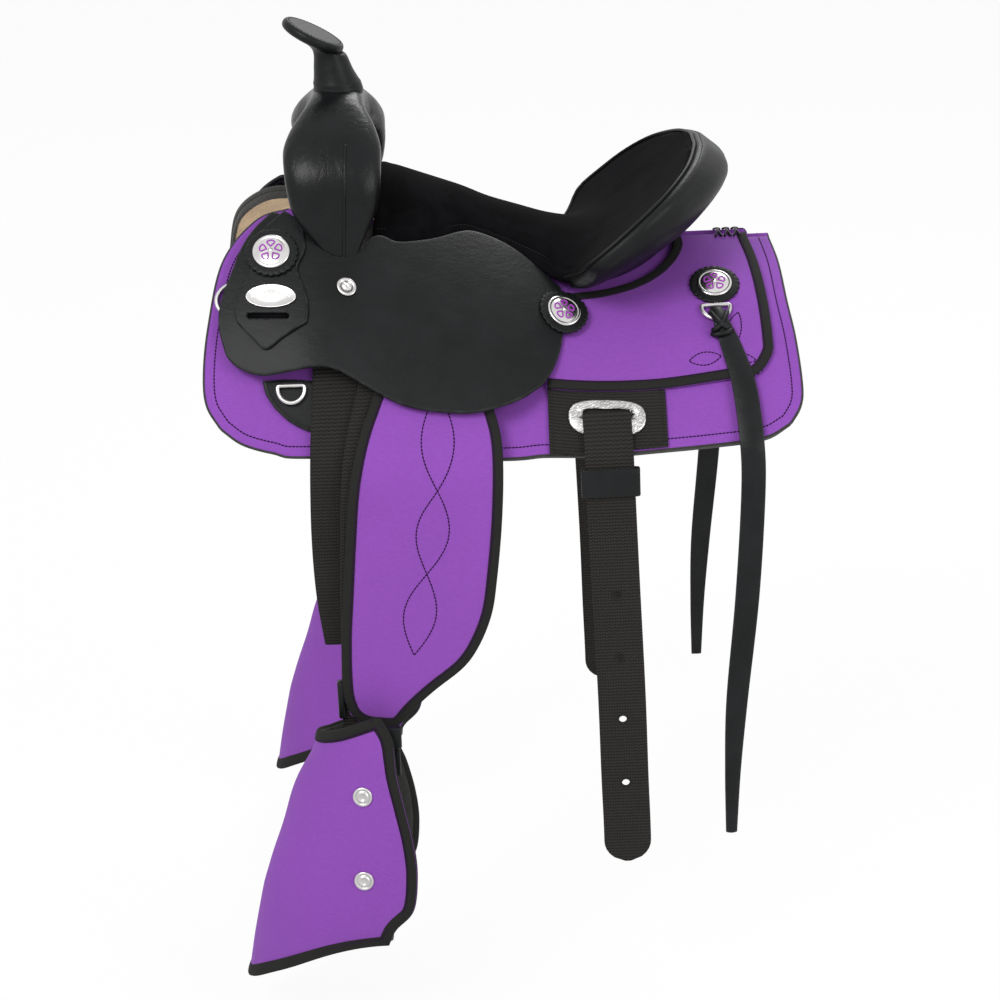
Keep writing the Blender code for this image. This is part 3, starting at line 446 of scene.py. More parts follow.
STITCH_SIDES = 6
STITCH_HIGH = 0.35 * MM
STITCH_RINGS = ((-0.42, 0.7), (0.0, 1.0), (0.42, 0.7))
STITCH_END_SINK = 0.1 * MM


def stitches(line, normals, pitch, length, wide, lean=0.0):
    """Single stitches lying along a line on a surface. Lean turns each a little across it."""
    run = lengths(line)
    count = max(2, int(run[-1] / pitch))
    want = (np.arange(count) + 0.5) * run[-1] / count

    def at_run(places, values):
        return np.stack([np.interp(places, run, values[:, k]) for k in range(3)], 1)

    at, up = at_run(want, line), unit(at_run(want, normals))
    ahead = unit(at_run(want + 1 * MM, line) - at_run(want - 1 * MM, line))
    side = unit(np.cross(up, ahead))
    ahead = unit(ahead * math.cos(lean) + side * math.sin(lean))
    side = unit(np.cross(up, ahead))
    n = STITCH_SIDES
    template = [
        (t * length, math.cos(turn) * share * wide / 2, math.sin(turn) * share * STITCH_HIGH)
        for t, share in STITCH_RINGS for turn in circle(n)
    ]
    template += [(end * length / 2, 0, -STITCH_END_SINK) for end in (-1, 1)]
    template = np.array(template)
    faces = []
    for i in range(n):
        k = (i + 1) % n
        faces += [[r * n + i, r * n + k, (r + 1) * n + k, (r + 1) * n + i] for r in range(2)]
        faces += [[3 * n, k, i], [3 * n + 1, 2 * n + i, 2 * n + k]]
    points = (
        at[:, None]
        + ahead[:, None] * template[None, :, :1]
        + side[:, None] * template[None, :, 1:2]
        + up[:, None] * template[None, :, 2:]
    )
    every = [[k * len(template) + i for i in f] for k in range(count) for f in faces]
    shape = Shape(points, every)
    if volume(Shape(points[0], faces)) < 0:
        shape.faces = [f[::-1] for f in shape.faces]
    return shape


def leftward(flat):
    """The direction to the left of a flat line, at each of its points."""
    tangent = tangents(flat)
    return np.stack([-tangent[:, 1], tangent[:, 0]], 1)


def offset_line(flat, by):
    """The flat line moved to its left by a distance, without the points that crowd a corner."""
    moved = flat + leftward(flat) * by
    keep = distance_to(flat, moved, False) >= abs(by) * 0.93
    keep[0] = keep[-1] = True
    return moved[keep]


def eased(flat, times=2, closed=False):
    """A line with its corners rounded."""
    for _ in range(times):
        if closed:
            flat = (np.roll(flat, 1, 0) + 2 * flat + np.roll(flat, -1, 0)) / 4
        else:
            inside = (flat[:-2] + 2 * flat[1:-1] + flat[2:]) / 4
            flat = np.vstack([flat[:1], inside, flat[-1:]])
    return flat


def binding(layer, flat, thickness, width, inside, proud=0.9 * MM):
    """A tape folded over the edge of a sheet. Inside is +1 where the sheet lies on the left."""
    line, normals = layer(*flat.T), layer.out(*flat.T)
    inward = layer(*(flat + leftward(flat) * inside * 1 * MM).T) - line
    t = thickness
    profile = [
        (width, t - 0.4 * MM), (width + 0.05 * MM, t + proud * 0.55), (width - 0.5 * MM, t + proud),
        (width * 0.5, t + proud * 1.15), (0.8 * MM, t + proud), (-0.35 * MM, t + proud * 0.55),
        (-0.9 * MM, t * 0.7), (-0.9 * MM, t * 0.3), (-0.35 * MM, -0.2 * MM),
        (width * 0.4, -0.35 * MM), (width, -0.3 * MM), (width, 0.4 * MM),
    ]
    return swept(line, normals, profile, inward)


def raised(outline, *heights):
    """Rings of one flat outline, at heights in mm."""
    return np.array([np.column_stack([outline, np.full(len(outline), z * MM)]) for z in heights])


def washer_rings(radius, profile, count):
    """Rings of a turned piece about its own axis, from (radius share, height in mm) pairs."""
    turn = circle(count)
    outline = np.stack([np.cos(turn), np.sin(turn)], 1)
    return np.concatenate([raised(radius * share * outline, height) for share, height in profile])


def laid_on(layer, rings, at):
    """A small piece, from rings on the flat, bent to the layer that it lies on."""
    a, b = np.array(at) * MM
    return lofted(layer(a + rings[..., 0], b + rings[..., 1], rings[..., 2]))


def button(layer, at, radius, profile, count):
    """A small turned piece laid on a layer at a place in mm."""
    return laid_on(layer, washer_rings(radius, profile, count), at)


# Finishes


class Value:
    """A number that varies over a surface. Python's operators add Math nodes to it."""

    def __init__(self, nodes, socket):
        self.nodes, self.socket = nodes, socket

    def maths(self, operation, *terms):
        node = self.nodes.node("ShaderNodeMath", {"operation": operation}, terms)
        return Value(self.nodes, node.outputs[0])

    def __add__(self, other):
        return self.maths("ADD", self, other)

    def __sub__(self, other):
        return self.maths("SUBTRACT", self, other)

    def __mul__(self, other):
        return self.maths("MULTIPLY", self, other)

    def __rsub__(self, other):
        return self.maths("SUBTRACT", other, self)

    __radd__ = __add__
    __rmul__ = __mul__

    def sine(self):
        return self.maths("SINE", self)

    def fraction(self):
        return self.maths("FRACT", self)

    def floor(self):
        return self.maths("FLOOR", self)

    def least(self, other):
        return self.maths("MINIMUM", self, other)

    def most(self, other):
        return self.maths("MAXIMUM", self, other)

    def parity(self):
        return (self * 0.5).fraction() * 2

    def ramp(self, low, high, start=0.0, end=1.0):
        """From start where this is low to end where it is high, smoothly."""
        node = self.nodes.node(
            "ShaderNodeMapRange", {"interpolation_type": "SMOOTHSTEP"},
            {"Value": self, "From Min": low, "From Max": high, "To Min": start, "To Max": end},
        )
        return Value(self.nodes, node.outputs["Result"])


class Nodes:
    """A node tree, to which every node is added in one way."""

    def __init__(self, tree):
        self.tree = tree

    def give(self, socket, value):
        if isinstance(value, Value):
            self.tree.links.new(value.socket, socket)
        elif isinstance(value, bpy.types.NodeSocket):
            self.tree.links.new(value, socket)
        else:
            socket.default_value = value

    def node(self, kind, settings=None, inputs=None):
        """A node with its settings made first, then the values or links of its sockets."""
        node = self.tree.nodes.new(kind)
        for name, value in (settings or {}).items():
            setattr(node, name, value)
        if isinstance(inputs, dict):
            for name, value in inputs.items():
                self.give(node.inputs[name], value)
        else:
            for k, value in enumerate(inputs or ()):
                self.give(node.inputs[k], value)
        return node


class Finish(Nodes):
    """A material for one of the saddle's surfaces, with its shader's fixed values."""

    def __init__(self, name, **fixed):
        self.material = bpy.data.materials.new(name)
        self.material.use_nodes = True
        super().__init__(self.material.node_tree)
        self.shader = self.tree.nodes["Principled BSDF"]
        for socket, value in fixed.items():
            self.shader.inputs[socket.replace("_", " ")].default_value = value

    def cloth(self):
        """Lengths along the cloth in metres, as two values."""
        node = self.node("ShaderNodeUVMap", {"uv_map": "cloth"})
        parts = self.node("ShaderNodeSeparateXYZ", None, {"Vector": node.outputs["UV"]})
        return Value(self, parts.outputs["X"]), Value(self, parts.outputs["Y"])

    def edge(self):
        """How far in from the cut edge, in metres."""
        node = self.node("ShaderNodeAttribute", {"attribute_name": "edge"})
        return Value(self, node.outputs["Fac"])

    def place(self, stretch=(1, 1, 1)):
        """The point on the piece in metres, stretched."""
        node = self.node("ShaderNodeTexCoord")
        scaled = self.node(
            "ShaderNodeVectorMath", {"operation": "MULTIPLY"}, (node.outputs["Object"], stretch)
        )
        return scaled.outputs["Vector"]

    def noise(self, scale, detail=3.0, roughness=0.5, stretch=(1, 1, 1), distortion=0.0):
        node = self.node(
            "ShaderNodeTexNoise", None,
            {"Vector": self.place(stretch), "Scale": scale, "Detail": detail,
             "Roughness": roughness, "Distortion": distortion},
        )
        return Value(self, node.outputs["Fac"])

    def cells(self, scale, feature="F1"):
        node = self.node(
            "ShaderNodeTexVoronoi", {"feature": feature}, {"Vector": self.place(), "Scale": scale}
        )
        return Value(self, node.outputs["Distance"])

    def colours(self, share, first, second):
        """The first colour where share is 0, the second where it is 1."""
        node = self.node("ShaderNodeMix", {"data_type": "RGBA"})
        self.give(node.inputs["Factor"], share)
        for socket, value in ((node.inputs[6], first), (node.inputs[7], second)):
            self.give(socket, value if isinstance(value, bpy.types.NodeSocket) else (*value[:3], 1))
        return node.outputs[2]

    def relief(self, *layers):
        """Bumps, each a height, its depth in metres and its strength, fine ones last."""
        normal = None
        for height, depth, strength in layers:
            inputs = {"Height": height, "Distance": depth, "Strength": strength}
            if normal is not None:
                inputs["Normal"] = normal
            normal = self.node("ShaderNodeBump", None, inputs).outputs["Normal"]
        self.give(self.shader.inputs["Normal"], normal)

    def paint(self, **inputs):
        for name, value in inputs.items():
            self.give(self.shader.inputs[name.replace("_", " ")], value)
        return self.material


def darker(colour, share):
    return tuple(c * share for c in colour[:3])


def leather_finish(name, colour, gloss=0.36, grain=1.0, crease=1.0, lie=(1.0, 1.0, 3.2)):
    """Smooth leather with a fine pebble, soft creases, and cut edges painted paler: partly rubbed
    wear, partly a painted highlight.
    """
    f = Finish(name, Specular_IOR_Level=0.15, Coat_Roughness=0.22)
    mottle = f.noise(26, 4, 0.6)
    pebble = f.cells(780, "SMOOTH_F1")
    fine = f.noise(1500, 2)
    creases = f.noise(44, 5, 0.62, lie, 0.8)
    # Cut edges painted paler in patches: partly rubbed wear, partly a painted highlight along the
    # edge
    rub = f.edge().ramp(0.0, 1.6 * MM, 1.0, 0.0) * f.noise(160, 2).ramp(0.3, 0.7)
    base = f.colours(mottle.ramp(0.3, 0.7), darker(colour, 0.78), darker(colour, 1.25))
    worn_and_highlit = f.colours(rub * 0.4, base, tuple(min(1, c * 2.2 + 0.03) for c in colour[:3]))
    f.relief(
        (creases, 2.5 * MM, 0.22 * crease),
        (f.noise(190, 4, 0.6, (1, 1, 2)), 0.6 * MM, 0.35 * grain),
        (pebble, 0.3 * MM, 0.45 * grain), (fine, 0.1 * MM, 0.25),
    )
    return f.paint(
        Base_Color=worn_and_highlit, Roughness=gloss + mottle * 0.12 + pebble * 0.08 + rub * 0.1,
        Coat_Weight=mottle * 0.06 + 0.02,
    )


def suede_finish(name, colour):
    """Brushed suede: a soft nap that lies this way and that."""
    f = Finish(name, Specular_IOR_Level=0.04)
    nap = f.noise(34, 5, 0.65, (1, 1, 1), 0.6)
    fibre = f.noise(1400, 3, 0.7)
    lie = f.noise(380, 3, 0.6, (1.0, 2.4, 1.0))
    base = f.colours(nap.ramp(0.32, 0.7), darker(colour, 0.62), darker(colour, 1.35))
    f.relief((nap, 0.8 * MM, 0.2), (lie, 0.35 * MM, 0.35), (fibre, 0.16 * MM, 0.55))
    return f.paint(Base_Color=base, Roughness=0.86 + fibre * 0.12)


def woven_finish(name, colour, thread=0.95 * MM, deep=0.5):
    """Plain weave of fine nylon yarn, over one and under one."""
    f = Finish(name, Sheen_Weight=0.06, Sheen_Roughness=0.45, Specular_IOR_Level=0.2)
    u, v = (value * (1 / thread) for value in f.cloth())
    over = (u.floor() + v.floor()).parity()
    warp = (v.fraction() * math.pi).sine() * over
    weft = (u.fraction() * math.pi).sine() * (1 - over)
    yarn = warp + weft
    slub = f.noise(210, 3, 0.6, (1, 1, 4))
    shade = f.noise(9, 3, 0.5)
    # Painted shade and highlight: the yarn term darkens the colour between the yarns and pales it on
    # their crowns; slub and the broad noise are random tone
    base = f.colours(
        yarn * 0.55 + slub.ramp(0.3, 0.7) * 0.2 + shade * 0.35, darker(colour, 0.70),
        darker(colour, 1.17),
    )
    f.relief((f.noise(40, 3, 0.55), 0.6 * MM, 0.12), (yarn, 0.22 * MM, deep))
    return f.paint(Base_Color=base, Roughness=0.62 + slub * 0.14)


def webbing_finish(name, colour):
    """Heavy nylon webbing: short ribs across, offset from row to row."""
    f = Finish(name, Specular_IOR_Level=0.2)
    u, v = f.cloth()
    pick, rib = 2.4 * MM, 3.0 * MM
    column = (u * (1 / pick)).floor()
    row = ((v * (1 / rib) + column.parity() * 0.16).fraction() * math.pi).sine()
    bump = row * (((u * (1 / pick)).fraction() * math.pi).sine().ramp(0.0, 0.5) * 0.45 + 0.55)
    fibre = f.noise(900, 3, 0.6, (1, 1, 3))
    fade = f.noise(30, 3)
    # Painted shade and highlight: the colour follows the rib height, near black in the grooves and
    # pale on the crowns; fibre and fade are random tone
    share = bump * 0.6 + fibre * 0.35 + fade * 0.2 - 0.1
    base = f.colours(share, darker(colour, 0.12), darker(colour, 2.4))
    f.relief((bump, 0.8 * MM, 1.0), (fibre, 0.12 * MM, 0.4))
    return f.paint(Base_Color=base, Roughness=0.7 + fibre * 0.15)


def tape_finish(name, colour):
    """Binding tape with fine cross ribs."""
    f = Finish(name, Specular_IOR_Level=0.2)
    u, _ = f.cloth()
    rib = (u * (2 * math.pi / (0.9 * MM))).sine()
    fibre = f.noise(1100, 3)
    # Painted shade: the rib term darkens the colour in the grooves between the ribs and pales it on
    # their tops
    base = f.colours(rib * 0.2 + fibre * 0.7, darker(colour, 0.6), darker(colour, 1.6))
    f.relief((f.noise(90, 3), 0.4 * MM, 0.2), (rib, 0.12 * MM, 0.5), (fibre, 0.1 * MM, 0.3))
    return f.paint(Base_Color=base, Roughness=0.72 + fibre * 0.12)


def felt_finish(name, colour):
    """Pressed wool lining, matted and a little uneven in colour."""
    f = Finish(name, Sheen_Weight=0.15, Sheen_Roughness=0.6, Specular_IOR_Level=0.1)
    blot = f.noise(38, 5, 0.65)
    tuft = f.noise(420, 4, 0.7, (1, 1, 1), 1.2)
    lock = f.cells(240)
    base = f.colours(
        blot.ramp(0.25, 0.75) * 0.6 + tuft * 0.4, darker(colour, 0.66), darker(colour, 1.12)
    )
    f.relief((lock, 1.2 * MM, 0.5), (tuft, 0.7 * MM, 0.7))
    return f.paint(Base_Color=base, Roughness=0.9 + tuft * 0.08)


def metal_finish(name, colour, rough=0.22, engraved=False):
    """Plated metal with fine rubbing marks, or cut with a leaf scroll."""
    f = Finish(name, Metallic=1.0)
    rub = f.noise(60, 4, 0.6)
    fine = f.noise(900, 2, 0.5, (1, 6, 1))
    layers = [(rub, 0.2 * MM, 0.1), (fine, 0.05 * MM, 0.2)]
    share = rub.ramp(0.35, 0.75) * 0.3
    if engraved:
        scroll = f.node(
            "ShaderNodeTexWave", {"wave_type": "RINGS", "rings_direction": "SPHERICAL"},
            {"Vector": f.place(), "Scale": 125.0, "Distortion": 9.0, "Detail": 1.0,
             "Detail Scale": 1.6},
        )
        cut = Value(f, scroll.outputs["Fac"]).ramp(0.30, 0.55)
        leaf = f.cells(340, "DISTANCE_TO_EDGE").ramp(0.0, 0.12)
        deep = cut.least(leaf)
        layers.insert(0, (deep, 0.35 * MM, 0.7))
        share = share + (1 - deep) * 0.45
    base = f.colours(share, colour, darker(colour, 0.38))
    f.relief(*layers)
    return f.paint(Base_Color=base, Roughness=rough + rub * 0.12)


def thread_finish(name, colour):
    """Twisted nylon thread."""
    f = Finish(name, Specular_IOR_Level=0.1)
    twist = (f.noise(2400, 2, 0.5, (1, 1, 2))).ramp(0.3, 0.7)
    base = f.colours(twist, darker(colour, 0.6), darker(colour, 1.4))
    f.relief((twist, 0.1 * MM, 0.5))
    return f.paint(Base_Color=base, Roughness=0.55 + twist * 0.2)


def wood_finish(name, colour):
    """Hide-covered wood of the tree, which hardly shows."""
    f = Finish(name)
    grain = f.noise(30, 4, 0.6, (1, 8, 8), 1.0)
    base = f.colours(grain.ramp(0.3, 0.7), darker(colour, 0.7), darker(colour, 1.1))
    f.relief((grain, 0.4 * MM, 0.3))
    return f.paint(Base_Color=base, Roughness=0.55 + grain * 0.2)


# Sizes and colours that a user would change


def length_of(name, description, default):
    return FloatProperty(
        name=name, description=description, default=default, min=0.0, unit="LENGTH", precision=4
    )


def colour_of(name, description, default):
    return FloatVectorProperty(
        name=name, description=description, default=default, min=0.0, max=1.0, size=3,
        subtype="COLOR",
    )


class SaddleSizes(bpy.types.PropertyGroup):
    skirt_seam: length_of("Skirt seam", "From the skirt's edge to its stitching", 9.5 * MM)
    fender_binding: length_of("Fender binding", "Width of the tape on the fenders", 8.5 * MM)
    jockey_binding: length_of("Rear jockey binding", "Width of the tape there", 8.5 * MM)
    hood_binding: length_of("Hood binding", "Width of the tape on the hoods", 10 * MM)
    stitch_pitch: length_of("Stitch pitch", "From one stitch to the next", 3.3 * MM)
    thread: length_of("Thread", "Width of a stitch", 1.4 * MM)
    mesh: length_of("Mesh", "Size of the cells of the large sheets", 5 * MM)


class SaddleColours(bpy.types.PropertyGroup):
    panel: colour_of("Woven panels", "Skirts, rear jockeys, fenders and hoods",
                     (0.252, 0.068, 0.425))
    leather: colour_of("Leather", "Jockeys, swell, horn and cantle", (0.0062, 0.0068, 0.0072))
    suede: colour_of("Suede", "Seat", (0.0035, 0.0035, 0.0042))
    webbing: colour_of("Webbing", "Straps", (0.014, 0.013, 0.012))
    tape: colour_of("Tape", "Bindings", (0.013, 0.013, 0.012))
    lining: colour_of("Lining", "Under the skirts", (0.66, 0.49, 0.31))
    lining_edge: colour_of("Lining edge", "The dark rim of the lining", (0.045, 0.045, 0.042))
    thread: colour_of("Thread", "Stitching", (0.022, 0.003, 0.034))
    silver: colour_of("Silver", "Conchos and plates", (0.72, 0.71, 0.70))
    steel: colour_of("Steel", "Dees and screws", (0.62, 0.61, 0.60))
    inlay: colour_of("Inlay", "Behind the star of the conchos", (0.33, 0.05, 0.42))


def sizes():
    return bpy.context.scene.saddle_sizes


FINISHES = {}


def finish(name):
    """The named finish, made when it is first asked for."""
    c = bpy.context.scene.saddle_colours
    looks = {
        "leather": (leather_finish, "black_leather", c.leather),
        "gloss_leather": (
            leather_finish, "swell_leather", c.leather, 0.2, 0.4, 1.7, (1.6, 1.6, 0.45)
        ),
        "strap_leather": (leather_finish, "strap_leather", darker(c.leather, 1.25), 0.34),
        "suede": (suede_finish, "black_suede", c.suede),
        "panel": (woven_finish, "purple_panel", c.panel),
        "hood_panel": (woven_finish, "hood_panel", c.panel, 1.15 * MM, 0.7),
        "webbing": (webbing_finish, "black_webbing", c.webbing),
        "tape": (tape_finish, "binding_tape", c.tape),
        "lining": (felt_finish, "tan_felt", c.lining),
        "lining_edge": (felt_finish, "lining_edge", c.lining_edge),
        "silver": (metal_finish, "silver", c.silver, 0.16),
        "engraved": (metal_finish, "engraved_silver", c.silver, 0.2, True),
        "steel": (metal_finish, "steel", c.steel, 0.28),
        "inlay": (leather_finish, "purple_inlay", c.inlay, 0.4),
        "thread": (thread_finish, "purple_thread", c.thread),
        "black_thread": (thread_finish, "black_thread", (0.02, 0.02, 0.02)),
        "wood": (wood_finish, "tree_wood", (0.030, 0.023, 0.017)),
    }
    if name not in FINISHES:
        make, *rest = looks[name]
        FINISHES[name] = make(*rest)
    return FINISHES[name]


# Pieces


def mesh_object(name, shape):
    mesh = bpy.data.meshes.new(name)
    mesh.from_pydata(shape.points.tolist(), [], shape.faces)
    made = bpy.data.objects.new(name, mesh)
    bpy.context.scene.collection.objects.link(made)
    return made


def piece(name, shape, look, body="saddle", stands_for=()):
    """One piece of the dressed saddle, riding on its body."""
    made = mesh_object(name, shape)
    mesh = made.data
    layer = mesh.uv_layers.new(name="cloth")
    at = np.zeros(len(mesh.loops), np.int32)
    mesh.loops.foreach_get("vertex_index", at)
    layer.data.foreach_set("uv", shape.cloth[at].astype(np.float32).ravel())
    edge = mesh.attributes.new("edge", "FLOAT", "POINT")
    edge.data.foreach_set("value", shape.edge.astype(np.float32))
    mesh.polygons.foreach_set("use_smooth", np.full(len(mesh.polygons), True))
    mesh.update()
    mesh.materials.append(finish(look))
    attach(made, body)
    if stands_for:
        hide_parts(*stands_for)
    return made


def pair(name, shape, look, body="saddle", stands_for=None):
    """The near piece and its mirror image. A {} in a name takes the side's word."""
    made = []
    for word, side in SIDES:
        nodes = [stands_for.format(word)] if stands_for else []
        own = shape if side < 0 else shape.mirrored()
        made.append(piece(f"{name}_{word}", own, look, body.format(word), nodes))
    return made


def softened(made):
    modifier = made.modifiers.new("softened", "SUBSURF")
    modifier.levels = modifier.render_levels = 1


def cut_pair(near_and_far, cutters):
    """Cuts shapes out of a pair of pieces, mirrored for the far one, and keeps the result."""
    for (_, side), made in zip(SIDES, near_and_far):
        scratch = []
        for k, shape in enumerate(cutters):
            cutter = mesh_object(f"cutter_{k}", shape if side < 0 else shape.mirrored())
            scratch.append(cutter)
            modifier = made.modifiers.new("cut", "BOOLEAN")
            modifier.operation, modifier.solver, modifier.object = "DIFFERENCE", "EXACT", cutter
        bpy.context.view_layer.update()
        result = made.evaluated_get(bpy.context.evaluated_depsgraph_get())
        mesh = bpy.data.meshes.new_from_object(result)
        made.modifiers.clear()
        old, made.data = made.data, mesh
        bpy.data.meshes.remove(old)
        for cutter in scratch:
            bpy.data.objects.remove(cutter)


# Outlines in mm: top, rear, bottom and front edges, each x, then length down from the spine

SKIRT_EDGES = (
    [(-185, 45), (-120, 38), (-40, 32), (40, 26), (100, 16), (140, 6), (168, 3), (261, 3)],
    [(261, 3), (266, 42), (269, 94), (273, 136), (275, 185), (272, 205), (262, 221)],
    [(-246, 265), (-227, 278), (-199, 284), (-166, 284), (3, 256), (47, 247), (122, 242),
     (190, 238), (238, 233), (262, 221)],
    [(-185, 45), (-213, 62), (-242, 107), (-255, 169), (-260, 215), (-258, 244), (-246, 265)],
)
LINING_INSET = 1
REAR_JOCKEY_EDGES = (
    [(40, 92), (74, 84), (98, 79), (127, 70), (148, 57), (163, 39), (171, 19), (170, 3)],
    [(170, 3), (190, 3), (215, 3), (239, 3)],
    [(45, 186), (100, 185), (152, 184), (212, 177), (235, 174), (249, 155), (251, 139),
     (250, 96), (246, 48), (239, 3)],
    [(40, 92), (41, 136), (45, 186)],
)
JOCKEY_EDGES = (
    [(-199, 65), (-183, 72), (-173, 84), (-159, 100), (-148, 106), (-137, 106), (-124, 96),
     (-113, 80), (-104, 76), (-90, 79), (-60, 67), (-32, 49), (-16, 47), (6, 53), (34, 65),
     (60, 82)],
    [(60, 82), (61, 110), (59, 140), (50, 170), (38, 190)],
    [(-238, 202), (-228, 212), (-208, 219), (-184, 215), (-157, 208), (-140, 209), (-120, 217),
     (-100, 225), (-80, 230), (-55, 230), (-20, 225), (14, 210), (38, 190)],
    [(-199, 65), (-212, 80), (-223, 98), (-234, 128), (-243, 155), (-244, 178), (-238, 202)],
)
FRONT_PLATE_EDGES = (
    [(-207, 222), (-180, 218), (-146, 216)],
    [(-146, 216), (-146, 240), (-146, 262)],
    [(-197, 244), (-185, 254), (-168, 261), (-146, 262)],
    [(-207, 222), (-204, 233), (-197, 244)],
)
REAR_PATCH_EDGES = (
    [(46, 188), (100, 187), (151, 186)],
    [(151, 186), (151, 238)],
    [(46, 248), (100, 241), (151, 238)],
    [(46, 188), (46, 248)],
)
KEEPER_EDGES = (
    [(-189, 67), (-181, 73), (-174, 82)],
    [(-174, 82), (-171, 104), (-177, 124), (-170, 144), (-167, 160), (-168, 172)],
    [(-228, 173), (-214, 188), (-203, 197), (-188, 186), (-168, 172)],
    [(-189, 67), (-205, 84), (-221, 104), (-216, 126), (-227, 148), (-230, 162), (-228, 173)],
)
# The hanging pieces: x, then height
FENDER_EDGES = (
    [(-104, -64), (-55, -76), (-5, -82)],
    [(-5, -82), (3, -115), (1, -172), (-6, -234), (-14, -275), (-34, -314), (-64, -339),
     (-78, -351), (-92, -365), (-100, -376)],
    [(-143, -362), (-130, -372), (-100, -376)],
    [(-104, -64), (-111, -80), (-122, -106), (-132, -146), (-138, -197), (-143, -248),
     (-147, -291), (-148, -340), (-143, -362)],
)
LEATHER_W, LATIGO_W, BILLET_W = 50, 44, 42
LEATHER_CENTRE = ((-80, 9), (-90, -45), (-110, -115), (-118, -200), (-124, -330), (-126, -385.4))
LATIGO_CENTRE = ((-139, -38), (-141, -80), (-144, -121), (-147, -192), (-146, -250), (-141, -299))
BILLET_CENTRE = (
    (98, -98), (99, -160), (101, -245), (104, -358), (105, -440), (106, -494), (106, -528),
)
# The tie strap: the same, then half its width
TIE_SHAPE = (
    (203, -28, 5.5), (208, -40, 7.5), (215, -58, 9.5), (222.5, -84, 10.5), (226, -130, 10.5),
    (225.5, -180, 10.5), (219.5, -272, 10.5), (209.5, -370, 9.5), (205, -440, 7), (203, -504, 4.8),
)
# Where the small pieces sit: x, then length down from the spine
CONCHOS = (("front", (-199, 110), OVER_KEEPER), ("middle", (62, 112), OVER_JOCKEY),
           ("rear", (204, 77), OVER_REAR_JOCKEY))
BADGE_AT, KEEPER_SLOT_AT, SCREW_AT = (-199, 151), (-201, 168), (-134, 135)
OVAL_AT, OVAL_SLOT_AT = (98, 212), (98, 209)
BILLET_HOLES = (-261, -323, -384, -448)
FENDER_CHAIN = (
    (-52, -71), (-53, -112), (-55, -151), (-61, -190), (-68, -229), (-76, -268), (-83, -306),
)
LEAVES = (((204, 156), (175, 160), 6.5), ((210, 153), (223, 110), 7), ((213, 156), (235, 162), 4.5))
# How high stitches lie on a bare panel and on its tape
ON_PANEL, ON_TAPE = 0.05 * MM, 0.95 * MM
TAPE_TO_SEAM = 1.5 * MM


def inset(edges, by):
    """The four edges moved in towards the middle of their sheet, all in mm."""
    top, rear, bottom, front = (np.array(edge, float) for edge in edges)
    top[:, 1] += by
    rear[:, 0] -= by
    bottom[:, 1] -= by
    front[:, 0] += by
    rear[0, 1] += by
    rear[-1, 1] -= by
    bottom[0, 0] += by
    bottom[-1, 0] -= by
    front[-1, 1] -= by
    top[-1], front[0] = rear[0], top[0]
    return top, rear, bottom, front


def rim_run(edges, spacing=4 * MM, which=("front", "bottom", "rear")):
    """The flat line down the front edge, along the bottom and up the rear one."""
    _, rear, bottom, front = (along(e, spacing) for e in in_metres(edges))
    ways = {"rear": rear[::-1], "bottom": bottom, "front": front}
    runs = [ways[name] for name in which]
    line = np.vstack([runs[0]] + [run[1:] for run in runs[1:]])
    return spaced(line, round(lengths(line)[-1] / spacing))


def seam(layer, flat, up):
    """A row of stitches along a flat line on a layer."""
    s = sizes()
    return stitches(layer(*flat.T, up), layer.out(*flat.T), s.stitch_pitch, s.stitch_pitch * 0.93,
                    s.thread, 0.10)


def loops(centre, half, swings):
    """A chain of crossing curves about a line: the two sides, in flat coordinates."""
    line = along(np.asarray(centre, float) * MM, 2 * MM)
    run = lengths(line) / lengths(line)[-1]
    bow = leftward(line) * (np.sin(run * math.pi * swings) * half * MM)[:, None]
    return line + bow, line - bow


def leaf(root, tip, half):
    """The two sides of a pointed leaf from its root to its tip, in flat coordinates."""
    root, tip = np.asarray(root, float) * MM, np.asarray(tip, float) * MM
    t = np.linspace(0, 1, 14)[:, None]
    d = tip - root
    aside = np.array([-d[1], d[0]]) / np.linalg.norm(d)
    bow = np.sin(t * math.pi) ** 0.8 * half * MM
    return root + d * t + aside * bow, root + d * t - aside * bow


class SADDLE_OT_skirts(bpy.types.Operator):
    """The two skirts, their seams and their felt lining"""

    bl_idname = "saddle.skirts"
    bl_label = "Skirts and lining"

    def execute(self, context):
        s = sizes()
        panel = flap(UNDER_SKIRT, SKIRT_EDGES, SKIRT_T, s.mesh, 0.1)
        pair("skirt_panel", panel, "panel", stands_for="skirt_{}")
        run = rim_run(SKIRT_EDGES)
        rim = binding(UNDER_SKIRT, run, SKIRT_T, 1.1 * MM, -1, 0.12 * MM)
        pair("skirt_rim", rim, "lining_edge")
        line = offset_line(run, -s.skirt_seam)
        pair("skirt_seam", seam(UNDER_SKIRT, line, SKIRT_T + ON_PANEL), "thread")
        inner = inset(SKIRT_EDGES, LINING_INSET)
        felt = flap(ON_LINING, inner, LINING_T, s.mesh, 0.04)
        pair("skirt_lining", felt, "lining", stands_for="lining_{}")
        tape = binding(ON_LINING, rim_run(inner), LINING_T, 2.2 * MM, -1, 0.2 * MM)
        pair("lining_rim", tape, "lining_edge")
        return {"FINISHED"}


